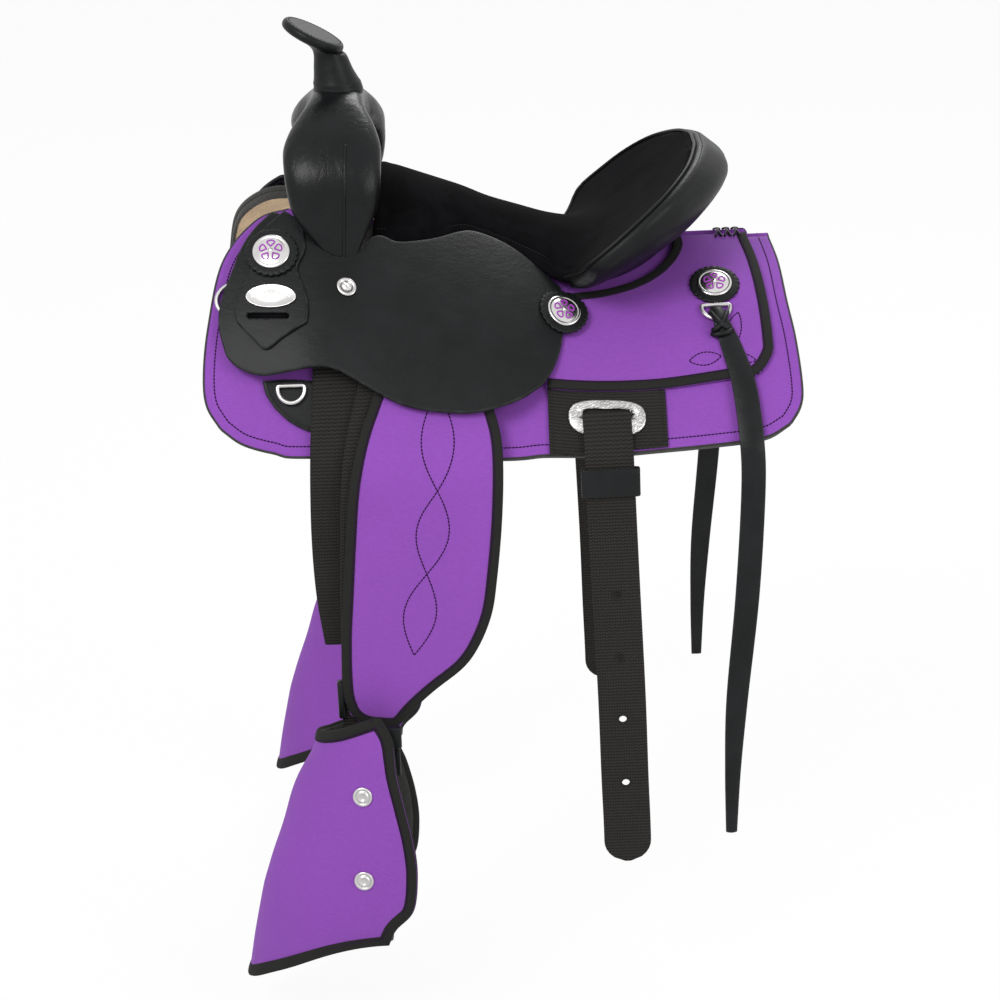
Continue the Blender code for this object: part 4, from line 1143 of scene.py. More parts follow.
class SADDLE_OT_rear_jockeys(bpy.types.Operator):
    """The bound rear jockeys, with their stitched leaves, and the lacing over the spine"""

    bl_idname = "saddle.rear_jockeys"
    bl_label = "Rear jockeys"

    def execute(self, context):
        s = sizes()
        t, w = REAR_JOCKEY_T, s.jockey_binding
        panel = flap(OVER_SKIRT, REAR_JOCKEY_EDGES, t, s.mesh)
        pair("rear_jockey_panel", panel, "panel", stands_for="rear_jockey_{}")
        top, _, bottom, _ = (along(e, 4 * MM) for e in in_metres(REAR_JOCKEY_EDGES))
        tapes = [binding(OVER_SKIRT, top, t, w, 1), binding(OVER_SKIRT, bottom, t, w, -1)]
        pair("rear_jockey_tape", joined(tapes), "tape")
        lines = [offset_line(top, w - TAPE_TO_SEAM), offset_line(bottom, TAPE_TO_SEAM - w)]
        seams = [seam(OVER_SKIRT, line, t + ON_TAPE) for line in lines]
        pair("rear_jockey_seam", joined(seams), "thread")
        leaves = [seam(OVER_SKIRT, line, t + ON_PANEL) for one in LEAVES for line in leaf(*one)]
        pair("rear_jockey_leaves", joined(leaves), "thread")
        piece("rear_lace", self.lacing(t + 0.9 * MM), "strap_leather", stands_for=("rear_lacing",))
        return {"FINISHED"}

    def lacing(self, up):
        """Three crosses of lace over the spine, between the two panels."""
        laces = []
        count = 17
        hump = 0.6 * MM * np.cos(np.linspace(-1.5, 1.5, count))
        for k in range(3):
            x, reach = (214 + 8.5 * k) * MM, 8.5 * MM
            for lean in (3 * MM, -3 * MM):
                spread = np.linspace(reach, -reach, count)
                line = OVER_SKIRT(x + np.linspace(-lean, lean, count), np.abs(spread), up + hump)
                line[:, 1] = np.where(spread < 0, -line[:, 1], line[:, 1])
                laces.append(tube(line, 1.0 * MM, sides=8))
        return joined(laces)


class SADDLE_OT_jockeys(bpy.types.Operator):
    """The front jockeys with the keeper plates for the latigo, bare badges and swell screws"""

    bl_idname = "saddle.jockeys"
    bl_label = "Jockeys"

    def execute(self, context):
        s = sizes()
        leather = flap(UNDER_JOCKEY, JOCKEY_EDGES, JOCKEY_T, s.mesh * 0.8)
        for made in pair("jockey_leather", leather, "leather", stands_for="jockey_{}"):
            softened(made)
        slot = self.slot(16 * MM, 2.6 * MM)
        cutter = laid_on(OVER_JOCKEY, raised(slot, -1.2, 6), KEEPER_SLOT_AT)
        # Painted shade: a flat, matte black suede floor in the keeper slot stands for the shadow
        # inside it
        floor = laid_on(OVER_JOCKEY, raised(slot * (0.98, 0.9), -0.6, 0.5), KEEPER_SLOT_AT)
        pair("keeper_slot_painted_shade", floor, "suede")
        plate = flap(OVER_JOCKEY, KEEPER_EDGES, PLATE_T, 2.5 * MM, 0.35)
        cut_pair(pair("keeper_plate", plate, "leather", stands_for="latigo_keeper_{}"), [cutter])
        radius, half_height = 22 * MM, 10.5 * MM
        rings = washer_rings(
            radius, ((0.98, 0), (1, 0.6), (0.985, 1.2), (0.965, 1.45), (0.945, 1.2), (0.5, 1.3),
                     (0.05, 1.35)), 48)
        rings[..., 1] *= half_height / radius
        shapes = [laid_on(OVER_KEEPER, rings, BADGE_AT)]
        for x in (-16, 16):
            shapes.append(button(OVER_KEEPER, (BADGE_AT[0] + x, BADGE_AT[1]), 1.1 * MM,
                                 ((1, 0.8), (1, 1.6), (0.6, 1.7)), 12))
        pair("badge_plate", joined(shapes), "silver", stands_for="badge_{}")
        head = button(OVER_JOCKEY, SCREW_AT, 4.5 * MM,
                      ((1, 0.4), (1, 2.1), (0.9, 2.7), (0.45, 3.2), (0.05, 3.3)), 32)
        c, n = math.cos(0.7), math.sin(0.7)
        outline = np.array(((-6, -0.6), (6, -0.6), (6, 0.6), (-6, 0.6))) * MM @ ((c, n), (-n, c))
        cutter = laid_on(OVER_JOCKEY, raised(outline, 2.4, 6), SCREW_AT)
        cut_pair(pair("swell_screw_head", head, "steel"), [cutter])
        ferrule = button(OVER_JOCKEY, SCREW_AT, 8.5 * MM,
                         ((1, 0), (1.0, 0.9), (0.95, 1.5), (0.8, 1.7), (0.66, 1.3), (0.62, 0.6),
                          (0.3, 0.6)), 40)
        pair("swell_ferrule", ferrule, "steel", stands_for="swell_screw_{}")
        return {"FINISHED"}

    def slot(self, half_length, radius):
        """The outline of a slot with round ends, from the end towards the tail."""
        ends = []
        for middle, start in ((half_length, -math.pi / 2), (-half_length, math.pi / 2)):
            turn = np.linspace(start, start + math.pi, 9)
            ends.append(np.stack([middle + radius * np.cos(turn), radius * np.sin(turn)], 1))
        return np.concatenate(ends)


class SADDLE_OT_rigging(bpy.types.Operator):
    """The plates, the slotted oval and the dees that the straps hang from"""

    bl_idname = "saddle.rigging"
    bl_label = "Rigging"

    def execute(self, context):
        plate = flap(OVER_SKIRT, FRONT_PLATE_EDGES, PLATE_T, 3 * MM)
        pair("front_plate", plate, "leather", stands_for="front_rigging_plate_{}")
        run = offset_line(rim_run(FRONT_PLATE_EDGES, 3 * MM, ("front", "bottom")), -3 * MM)
        pair("front_plate_seam", seam(OVER_SKIRT, run, PLATE_T), "black_thread")
        patched = flap(OVER_SKIRT, REAR_PATCH_EDGES, PLATE_T, 3 * MM)
        pair("rear_patch", patched, "webbing", stands_for="rear_rigging_patch_{}")
        run = offset_line(rim_run(REAR_PATCH_EDGES, 3 * MM), -3 * MM)
        pair("rear_patch_seam", seam(OVER_SKIRT, run, PLATE_T), "black_thread")
        outline = self.oval(72, 35 * MM, 17 * MM, 2 / 2.7, 2 / 2.7)
        rings = np.concatenate([
            raised(outline * share, height) for share, height in (
                (0.985, 0), (1, 0.7), (0.985, 1.5), (0.94, 2.0), (0.5, 2.1), (0.05, 2.1))
        ])
        hole = raised(self.oval(40, 22 * MM, 5.4 * MM, 0.5, 0.6), -3, 6)
        made = pair("slotted_oval", laid_on(OVER_PATCH, rings, OVAL_AT), "engraved",
                    stands_for="rear_rigging_oval_{}")
        cut_pair(made, [laid_on(OVER_PATCH, hole, OVAL_SLOT_AT)])
        dees = (
            ("front", OVER_SKIRT, (-182, 224), PLATE_T + 2.6 * MM, (24, 16), False),
            ("breast", UNDER_SKIRT, (-226, 148), SKIRT_T + 2.5 * MM, (34, 22), True),
            ("rear", OVER_SKIRT, (203, 103), REAR_JOCKEY_T + 2.6 * MM, (26, 16), False),
        )
        for name, *where in dees:
            wire = tube(self.dee(*where), 2 * MM, True, 12)
            pair(f"{name}_dee_wire", wire, "steel", stands_for=f"{name}_dee_{{}}")
        return {"FINISHED"}

    def oval(self, count, half_length, half_width, power, power_across):
        turn = circle(count)
        return np.stack([half_length * bent(np.cos(turn), power),
                         half_width * bent(np.sin(turn), power_across)], 1)

    def dee(self, layer, at, up, size, forward):
        """The middle of a dee's wire, with its bow down, or forward, from a flat bar."""
        length, width = np.array(size) * MM
        bar = [(-length / 2 + length * k / 8, 0) for k in range(9)]
        bow = [(length / 2 * math.cos(t), 3 * MM + (width - 3 * MM) * math.sin(t))
               for t in np.linspace(0, math.pi, 21)]
        flat = np.array(bar + bow)
        if forward:
            flat = np.stack([-flat[:, 1], flat[:, 0]], 1)
        at = [np.array([value * MM]) for value in at]
        out = layer.out(*at)[0]
        east = unit(np.cross(np.cross(out, (1, 0, 0)), out))
        down = np.cross(out, east)
        down = down if down[2] < 0 else -down
        line = layer(*at, up)[0] + flat[:, :1] * east + flat[:, 1:] * down
        return eased(spaced(np.vstack([line, line[:1]]), 64)[:-1], 2, True)


class SADDLE_OT_conchos(bpy.types.Operator):
    """Silver conchos with a pierced star, each on a scalloped leather rosette"""

    bl_idname = "saddle.conchos"
    bl_label = "Conchos"

    def execute(self, context):
        for name, at, layer in CONCHOS:
            rosette = washer_rings(
                23 * MM, ((0.97, 0), (1, 0.9), (0.985, 1.9), (0.93, 2.4), (0.8, 2.3), (0.3, 2.3)),
                144)
            lobes = circle(144) * 24
            rosette[..., :2] *= (1 + 0.012 * np.cos(lobes))[:, None]
            notch = 1 - 0.045 * np.maximum(0, np.cos(lobes + 3.14)) ** 6
            rosette[:4, :, :2] *= notch[None, :, None]
            pair(f"{name}_rosette", laid_on(layer, rosette, at), "leather")
            disc = button(
                layer, at, 16 * MM,
                ((1, 2.2), (1.0, 3.3), (0.975, 3.9), (0.9, 4.2), (0.84, 4.0), (0.80, 3.7),
                 (0.76, 4.1), (0.6, 4.8), (0.4, 5.2), (0.2, 5.35), (0.03, 5.4)), 64)
            pair(f"{name}_concho_disc", disc, "silver", stands_for=f"{name}_concho_{{}}")
            petals = [self.petal(layer, at, math.pi / 2 + 2 * math.pi * (k + 0.5) / 5)
                      for k in range(5)]
            pair(f"{name}_concho_star", joined(petals), "inlay")
            knob = button(layer, at, 1.9 * MM, ((1, 5.1), (1, 5.7), (0.6, 6.3), (0.1, 6.5)), 16)
            pair(f"{name}_concho_knob", knob, "silver")
        return {"FINISHED"}

    def petal(self, layer, at, middle):
        """The inlaid outline of one petal. Its side gives a radius share and a swing."""
        side = ((0.40, 0.27), (0.56, 0.40), (0.66, 0.36), (0.71, 0.2))
        back = tuple((share, -swing) for share, swing in side[::-1])
        outline = []
        for share, swing in ((0.26, 0.0), *side, (0.73, 0.0), *back):
            share *= 0.84
            r, height = 16 * MM * share, np.interp(share, (0.2, 0.4, 0.6), (5.35, 5.2, 4.8)) * MM
            outline.append((r * math.cos(middle + swing), r * math.sin(middle + swing), height))
        line = spaced(fine_curve(outline + outline[:1], 4), 40)[:-1]
        x, v = np.array(at) * MM
        return tube(layer(x + line[:, 0], v + line[:, 1], line[:, 2] + 0.1 * MM), 0.7 * MM, True, 6)


def ribbon(layer, centre, width, end=None):
    """A strap on a layer along a centre line. End is how far its rounded tip reaches, in mm."""
    line = along(np.asarray(centre, float) * MM, 4 * MM)
    half = np.full(len(line), width * MM / 2)
    if end:
        from_end = lengths(line[::-1])[::-1]
        half = half * np.sqrt(np.clip(1 - np.clip(1 - from_end / (end * MM), 0, 1) ** 2, 0.02, 1))
    share = np.linspace(-1, 1, 13)
    share = np.sign(share) * (1 - (1 - np.abs(share)) ** 1.35)
    x = line[:, :1] + half[:, None] * share[None]
    z = np.broadcast_to(line[:, 1:], x.shape)
    inner, out = layer.place(x, z), layer.out(x, z)
    plump = (1 - np.abs(share) ** 6)[None] * 0.35 * MM
    height = STRAP_T - 0.35 * MM + plump
    flat = np.stack([np.broadcast_to(share[None] * width * MM / 2, x.shape),
                     np.broadcast_to(-lengths(line)[:, None], x.shape)], -1)
    return sheet(inner, inner + out * height[..., None], flat, 0.3)


class SADDLE_OT_fenders(bpy.types.Operator):
    """The fenders with their bound edge and chain of stitched loops, on webbing leathers"""

    bl_idname = "saddle.fenders"
    bl_label = "Fenders"

    def execute(self, context):
        s = sizes()
        body = "{}_fender"
        panel = flap(FENDER_LAYER, FENDER_EDGES, STRAP_T, s.mesh)
        pair("fender_panel", panel, "panel", body, "fender_{}")
        run = eased(rim_run(FENDER_EDGES), 3)
        w = s.fender_binding
        pair("fender_tape", binding(FENDER_LAYER, run, STRAP_T, w, 1), "tape", body)
        line = offset_line(run, w - TAPE_TO_SEAM)
        pair("fender_seam", seam(FENDER_LAYER, line, STRAP_T + ON_TAPE), "thread", body)
        chain = [
            seam(FENDER_LAYER, side, STRAP_T + ON_PANEL) for side in loops(FENDER_CHAIN, 14.5, 3)
        ]
        pair("fender_loops", joined(chain), "thread", body)
        leather = ribbon(LEATHER_LAYER, LEATHER_CENTRE, LEATHER_W)
        pair("leather_webbing", leather, "webbing", body, "stirrup_leather_{}")
        return {"FINISHED"}


class SADDLE_OT_straps(bpy.types.Operator):
    """The latigo and off billet, the flank billets with their keepers, and the tie straps"""

    bl_idname = "saddle.straps"
    bl_label = "Straps"

    def execute(self, context):
        near = ribbon(LATIGO_LAYER, LATIGO_CENTRE, LATIGO_W)
        piece("latigo_webbing", near, "webbing", "latigo", ("latigo",))
        piece("off_billet_webbing", near.mirrored(), "webbing", "off_billet", ("off_billet",))
        turn = circle(24)
        around = np.stack([np.cos(turn), np.sin(turn)], 1)
        holes, rims = [], []
        for z in BILLET_HOLES:
            middle = np.array((102 + (z + 261) * -0.02, z)) * MM
            hole, rim = middle + 3.6 * MM * around, middle + 4.7 * MM * around
            holes.append(lofted([[(a, y * MM, b) for a, b in hole] for y in (-230, -200)]))
            rims.append(tube(BILLET_LAYER(*rim.T, STRAP_T - 0.1 * MM), 0.55 * MM, True, 8))
        billet = ribbon(BILLET_LAYER, BILLET_CENTRE, BILLET_W, end=20)
        made = pair("billet_webbing", billet, "webbing", "{}_flank_billet", "flank_billet_{}")
        cut_pair(made, holes)
        pair("billet_hole_rims", joined(rims), "black_thread", "{}_flank_billet")
        pair("billet_keeper_loop", self.keeper(), "strap_leather", "{}_billet_keeper",
             "billet_keeper_{}")
        pair("tie_lace", self.tie(), "strap_leather", "{}_tie_strap", "tie_strap_{}")
        return {"FINISHED"}

    def keeper(self):
        """A flat loop round the billet. Each ring has half sizes along x and y, and a height."""
        turn = circle(48)
        inner, outer = (23.2, 2.6), (26.0, 4.4)
        bulged = (26.35, 4.75)
        rings = [
            np.stack([hx * bent(np.cos(turn), 0.28), hy * bent(np.sin(turn), 0.5),
                      np.full(48, z)], 1)
            for (hx, hy), z in ((outer, -13), (bulged, -12), (bulged, 12), (outer, 13), (inner, 13),
                                (inner, -13))
        ]
        return lofted((np.array(rings) + (99, -214.0, -153.5)) * MM, True)

    def tie(self):
        """One crowned lace that hangs from the dee, and the crossed wraps of its knot."""
        rows = spaced(fine_curve(np.array(TIE_SHAPE, float) * MM), 130)
        share = np.linspace(-1, 1, 17)
        share = np.sign(share) * (1 - (1 - np.abs(share)) ** 1.3)
        x = rows[:, :1] + rows[:, 2:] * share[None]
        z = np.broadcast_to(rows[:, 1:2], x.shape)
        over = 5 * MM * np.exp(-(((rows[:, 1] + 35.5 * MM) / (9 * MM)) ** 2))
        inner = hanging(x, z, (17.2 * MM + over)[:, None] + 0 * x, 211 * MM)
        out = hung(17.2 * MM, 211 * MM).out(x, z)
        high = TIE_T * (0.75 + 0.75 * (1 - share**2))[None] + 0 * x
        shapes = [sheet(inner, inner + out * high[..., None], np.stack([x, z], -1), 0.3)]
        for a, b in (((-7, -30), (8, -41)), ((8, -30), (-6, -42)), ((-7, -45), (11, -42))):
            t = np.linspace(-1, 1, 15)
            x = (204.5 + (a[0] + b[0]) / 2 + (b[0] - a[0]) / 2 * t) * MM
            z = ((a[1] + b[1]) / 2 + (b[1] - a[1]) / 2 * t) * MM
            lift = (17.6 + 5.5 * np.exp(-(((z / MM + 36) / 10) ** 2)) + 2.2 - 3.0 * t**4) * MM
            shapes.append(tube(hanging(x, z, lift, 213 * MM), 2.4 * MM))
        return joined(shapes)


# Swell and horn

SWELL = np.array((
    (112, -46.5, 97, -33.5, -141, -123), (110, -30, 88, -16.5, -153, -116),
    (108, -14.5, 80, -4.5, -166, -108), (107, 5.5, 76, 9.5, -177, -100),
    (105, 27, 71, 26, -181, -96), (97, 47, 61, 40, -183, -95), (81, 66, 48, 50, -183, -95),
    (59, 83, 32, 57.5, -176, -100), (33, 97, 15, 61.5, -165, -108), (0, 103, 0, 63.5, -160, -110),
))
SWELL_X = -138 * MM
# The swell's welt: heights of the swell's middle line in mm, and the welt's station at each
WELT_HEIGHTS, WELT_X = (24, 78, 124), (-133, -129, -126)
HORN_CAP_D = 61 * MM
HORN_CAP_T = 10 * MM
HORN_TILT = 28
HORN_CAP_X, HORN_CAP_UP = -152 * MM, 152.4 * MM
# The horn's neck: station, height above the crest, radius, and how far it leans with the cap
NECK = np.array((
    (-134, 86, 17, 0.0), (-133.5, 95, 22.5, 0.0), (-134, 103, 22, 0.0), (-137, 117.5, 18, 0.1),
    (-140, 133, 15.8, 0.4),
))


def crest(x):
    return float(np.ravel(on_back(np.array([x]), np.array([0.0]))[0])[2])


def turned(rings, origin, up):
    """Rings about their own axis, stood at a place with their axis along up."""
    up = unit(np.asarray(up, float))
    ahead = unit(np.cross((0, 1, 0), up))
    across = np.cross(up, ahead)
    return origin + rings @ np.array([ahead, across, up])


def swell_rings(stations=90, around=72):
    """Rings of the swell from the near foot over the top to the far one."""
    near = SWELL * MM
    mirror = (-1, 1, -1, 1, 1, 1)
    whole = spaced(fine_curve(np.vstack([near * mirror, near[-2::-1]])), stations)
    base = crest(SWELL_X)
    outer = np.stack([0 * whole[:, 0], whole[:, 0], base + whole[:, 1]], 1)
    inner = np.stack([0 * whole[:, 0], whole[:, 2], base + whole[:, 3]], 1)
    mid, half = (outer + inner) / 2, (outer - inner) / 2
    high, axis = np.linalg.norm(half, axis=1), unit(half)
    turn = circle(around)
    along_x, up = bent(np.cos(turn), 0.72), bent(np.sin(turn), 0.72)
    long = (whole[:, 5] - whole[:, 4]) / 2
    rings = mid[:, None] + axis[:, None] * (high[:, None] * up[None])[..., None]
    rings[..., 0] = (whole[:, 5] + whole[:, 4])[:, None] / 2 + long[:, None] * along_x[None]
    return rings


class SADDLE_OT_swell(bpy.types.Operator):
    """The leather covered swell with its welts, and the wrapped horn"""

    bl_idname = "saddle.swell"
    bl_label = "Swell and horn"

    def execute(self, context):
        rings = swell_rings()
        base = crest(SWELL_X)
        softened(piece("swell_leather", lofted(rings), "gloss_leather",
                       stands_for=("swell_cover",)))
        welt = self.welt(rings)
        piece("swell_welts", welt + welt.mirrored(), "gloss_leather")
        cap_at = np.array((HORN_CAP_X, 0, base + HORN_CAP_UP))
        tilt = math.radians(HORN_TILT)
        cap_up = np.array((math.sin(tilt), 0, math.cos(tilt)))
        rearward = np.array((cap_up[2], 0, -cap_up[0]))
        end = cap_at - cap_up * HORN_CAP_T + rearward * 8 * MM - cap_up * 0.3 * MM
        rows = np.vstack([NECK * MM, [(end[0], end[2] - base, 21 * MM, 1 * MM)]])
        neck = []
        for x, z, radius, lean in spaced(fine_curve(rows), 44):
            up = np.array((0, 0, 1)) * (1 - lean / MM) + cap_up * lean / MM
            fold = 0.5 * MM * math.exp(-(((z - 105 * MM) / (1.5 * MM)) ** 2))
            ring = washer_rings(radius + fold, ((1, 0),), 64)[0]
            neck.append(turned(ring, np.array((x, 0, base + z)), up))
        piece("horn_wrap", lofted(np.array(neck)), "leather", stands_for=("horn_neck_wrap",))
        r, t = HORN_CAP_D / 2, HORN_CAP_T / MM
        profile = (
            (0.56, -t), (0.80, -t * 0.97), (0.93, -t * 0.86), (0.985, -t * 0.68), (1, -t * 0.5),
            (0.997, -t * 0.33), (0.98, -t * 0.18), (0.955, -t * 0.07), (0.93, 0),
            (0.9, 0.02 * t), (0.86, -0.02 * t), (0.82, 0.02 * t), (0.6, 0.05 * t), (0.3, 0.06 * t),
            (0.03, 0.06 * t),
        )
        cap = turned(washer_rings(r, profile, 72), cap_at, cap_up)
        softened(piece("horn_cap_leather", lofted(cap), "leather", stands_for=("horn_cap",)))
        rim = turned(washer_rings(r * 0.86, ((1, 0.1),), 73)[0], cap_at, cap_up)
        rim = np.vstack([rim, rim[:1]])
        ups = np.broadcast_to(cap_up, rim.shape)
        piece("horn_cap_seam", stitches(rim, ups, 3.2 * MM, 2.6 * MM, 0.7 * MM), "black_thread")
        return {"FINISHED"}

    def welt(self, rings):
        """The welt down the near side of the swell."""
        half = rings.shape[1] // 2
        line, over = [], []
        for ring in rings[: len(rings) // 2]:
            height = ring.mean(0)[2] / MM
            if not WELT_HEIGHTS[0] < height < WELT_HEIGHTS[-1]:
                continue
            x = np.interp(height, WELT_HEIGHTS, WELT_X) * MM
            face = ring[: half + 1][np.argsort(ring[: half + 1, 0])]
            line.append([np.interp(x, face[:, 0], face[:, k]) for k in range(3)])
            over.append(unit(line[-1] - ring.mean(0)))
        count = 60
        nearest = [round(k * (len(over) - 1) / count) for k in range(count + 1)]
        return tube(spaced(np.array(line), count) - np.array(over)[nearest] * 0.2 * MM, 1.5 * MM)


# Seat and cantle. Heights are above the crest.

SEAT_MIDDLE = np.array([
    (-97, 41), (-52, 40), (-24, 39.5), (0, 36), (28, 34), (58, 30.5), (84, 30), (104, 35.5),
    (118, 43), (134, 54), (150, 67), (165, 81), (178, 94), (189, 105),
]) * MM
SEAT_EDGE = np.array([
    (-104, 87, -14.5), (-53, 74, -2), (-25, 55, 9.5), (-9, 54, 13), (12, 59, 13), (39, 71, 8),
    (64, 90, 1), (78, 115, 13.5), (89, 137, 28), (111, 140, 46), (135, 133, 65), (159, 114, 82),
    (176, 78, 95), (188, 30, 104),
]) * MM
CANTLE = (
    ((66, 92, 0), (70, 98, -3), (73, 95, -9), (74, 68)),
    ((78, 116, 12.5), (83, 121, 7.5), (88, 110, -4), (85, 68)),
    ((89, 139, 28), (97, 144, 24), (104, 129, 9), (96, 66)),
    ((111, 141, 46), (120, 146, 43), (128, 129, 22), (112, 60)),
    ((135, 134, 65), (145, 139, 62), (154, 120, 36), (129, 51)),
    ((159, 115, 82), (170, 119, 79), (182, 100, 50), (145, 38)),
    ((180, 76, 96), (192, 77, 94), (207, 64, 65), (157, 24)),
    ((190, 31, 104), (204, 32, 101), (220, 27, 72), (163, 11)),
    ((191, 0, 105), (206, 0, 102), (222, 0, 74), (165, 3)),
)
RIM_GAP = 0.8 * MM


def seat_grid(rows=96, cols=72):
    """Points of the seat's top from front to rear and from the near to the far edge."""
    base = np.array([crest(x) for x in SEAT_MIDDLE[:, 0]])
    both = np.column_stack([SEAT_MIDDLE, SEAT_EDGE, base])
    both = spaced(fine_curve(both), rows)
    xc, zc, xe, ye, ze, base = (both[:, k, None] for k in range(6))
    v = np.linspace(-1, 1, cols + 1)[None]
    return np.stack(
        [xc + (xe - xc) * v * v, ye * v, base + zc + (ze - zc) * np.abs(v) ** 2.2], -1
    )


def grid_normals(grid, towards):
    """The normals of a grid of points, its middle one looking towards a direction."""
    normals = unit(np.cross(np.gradient(grid, axis=0), np.gradient(grid, axis=1)))
    middle = normals[len(grid) // 2, grid.shape[1] // 2]
    return normals if np.dot(middle, towards) > 0 else -normals


def cantle_grid(across=30, down=26):
    half = []
    for n, (rim, crown, back, (x, s)) in enumerate(CANTLE):
        row = min(6 + n, len(SEAT_MIDDLE) - 1)
        base = np.array((0, 0, crest(SEAT_MIDDLE[row, 0])))
        rim, crown, back = (base + np.array(p) * MM for p in (rim, crown, back))
        under = draped(ON_SKIRT + 1.3 * MM)
        foot = under(np.array([x * MM]), np.array([s * MM]))[0] * (1, -1, 1)
        if rim[1] == 0:
            foot[1] = 0
        rim = rim + unit(crown - rim) * RIM_GAP
        half.append(curve(np.array([rim, crown, back, foot]), down))
    half = np.array(half)
    whole = np.concatenate([half, half[-2::-1] * (1, -1, 1)])
    return np.stack([curve(whole[:, m], 2 * across) for m in range(whole.shape[1])], 1)


class SADDLE_OT_seat(bpy.types.Operator):
    """The padded suede seat and the rolled cantle behind it"""

    bl_idname = "saddle.seat"
    bl_label = "Seat and cantle"

    def execute(self, context):
        top = seat_grid()
        out = grid_normals(top, (0, 0, 1))
        run, over = np.moveaxis(flat_of(top), -1, 0)
        over = over - over[:, -1:] / 2
        rim = np.minimum(np.minimum(run, run[-1:] - run), over[:, -1:] - np.abs(over))
        roll = -np.exp(-((rim - 9 * MM) / (2.2 * MM)) ** 2) * 0.9 * MM
        sink = -1.6 * MM * np.exp(-rim / (3 * MM))
        face = top + out * (roll + sink)[..., None]
        pad = sheet(top - out * SEAT_T, face, np.stack([run, over], -1), 0.35)
        made = piece("seat_suede", pad, "suede", stands_for=("seat_pad",))
        softened(made)
        seams = []
        c = 4  # cells in from the rim
        for here in (np.s_[::-1, c], np.s_[:, -1 - c], np.s_[c, c:-c]):
            line, up = top[here], out[here]
            seams.append(stitches(line - up * 0.7 * MM, up, 3.4 * MM, 2.8 * MM, 0.7 * MM))
        piece("seat_seam", joined(seams), "black_thread")
        skin = cantle_grid()
        normal = grid_normals(skin, (1, 0, 0))
        shape = sheet(skin - normal * COVER_T, skin, flat_of(skin), 0.3)
        piece("cantle_leather", shape, "leather", stands_for=("cantle_cover",))
        piece("cantle_welt", tube(skin[:, 0] + normal[:, 0] * 0.3 * MM, 1.5 * MM), "leather")
        line = (skin[:, 1] * 0.55 + skin[:, 2] * 0.45)[2:-2]
        row = stitches(line, normal[2:-2, 1], 3.6 * MM, 2.9 * MM, 1.0 * MM)
        piece("cantle_seam", row, "black_thread")
        return {"FINISHED"}


# Stirrups and hoods. Levels of the hood are height, front, rear and half width.

BOLT = np.array((-135, -226, -390)) * MM
HOOD = np.array((
    (-352, -174, -116, 36), (-372, -179, -106, 41), (-405, -191, -103, 47), (-436, -201, -97, 52),
    (-468, -211, -91, 56), (-500, -223, -89, 59), (-535, -235, -94, 61), (-560, -246, -110, 61),
    (-582, -254, -118, 58),
))
HOOD_T = 3 * MM
TREAD_Z = -570.7 * MM
HOOD_BOLTS = ((-135, -422), (-139, -502))
# Blocks of leather, each a middle and half sizes: the sleeve, then the strap that ties the stirrup
SLEEVE = ((-151, -224, -348.5), (3.2, 5, 17.5))
HOBBLE = (((-104, -247, -378), (6.5, 4, 10)), ((-102, -247, -401), (2.4, 2.4, 15)))


def hood_grid(levels=56, around=80):
    """Points of the hood's outside from the top down and from the near rear to the far one."""
    rows = spaced(fine_curve(HOOD), levels)
    part = np.array(((1, 1), (0.66, 0.97), (0.36, 0.8), (0.13, 0.46), (0.02, 0.14)))
    whole = np.vstack([part * (1, -1), part[::-1]])
    ring = curve(whole, around)
    z, front, rear, half = (rows[:, k, None] for k in range(4))
    x = front + (rear - front) * ring[None, :, 0]
    y = BOLT[1] / MM + half * ring[None, :, 1]
    share = (x - front) / (rear - front)
    low = smoothed((-z - 525) / 57)
    drop = low * 42 * np.maximum(0, 1 - (x - front) / 112) ** 2.2
    drop = drop - low * 13 * smoothed((share - 0.2) / 0.8)
    top = smoothed(1 - (-z - 352) / 95)
    inner = smoothed((y - BOLT[1] / MM + 8) / 30)
    drop = drop + top * (24 * np.maximum(0, 1 - share) ** 1.3 * (1 - inner) + 30 * inner)
    return np.stack([x, y + 0 * x, z - drop], -1) * MM


def stirrup_line(count=160):
    top, low, w = -390, TREAD_Z / MM - 4, 47
    half = [
        (0, top), (21.6, top), (30, top - 8), (w - 14, top - 50), (w - 3, top - 110),
        (w, top - 160), (w - 1, low + 14), (w - 9, low), (w - 20, low), (0, low),
    ]
    route = np.array(half + [(-y, z) for y, z in half[-2:0:-1]], float)
    route = np.vstack([route, route[:1]])
    return spaced(eased(spaced(route, count), 3), count)[:-1] * MM


def block(middle, half):
    """A small leather block with rounded sides and eased ends."""
    turn = circle(32)
    outline = np.stack([half[0] * bent(np.cos(turn), 0.5), half[1] * bent(np.sin(turn), 0.5)], 1)
    rings = [
        np.column_stack([outline * share, np.full(32, level * half[2])])
        for share, level in ((0.86, -1), (1, -0.93), (1, 0.93), (0.86, 1))
    ]
    return lofted((np.array(rings) + middle) * MM)


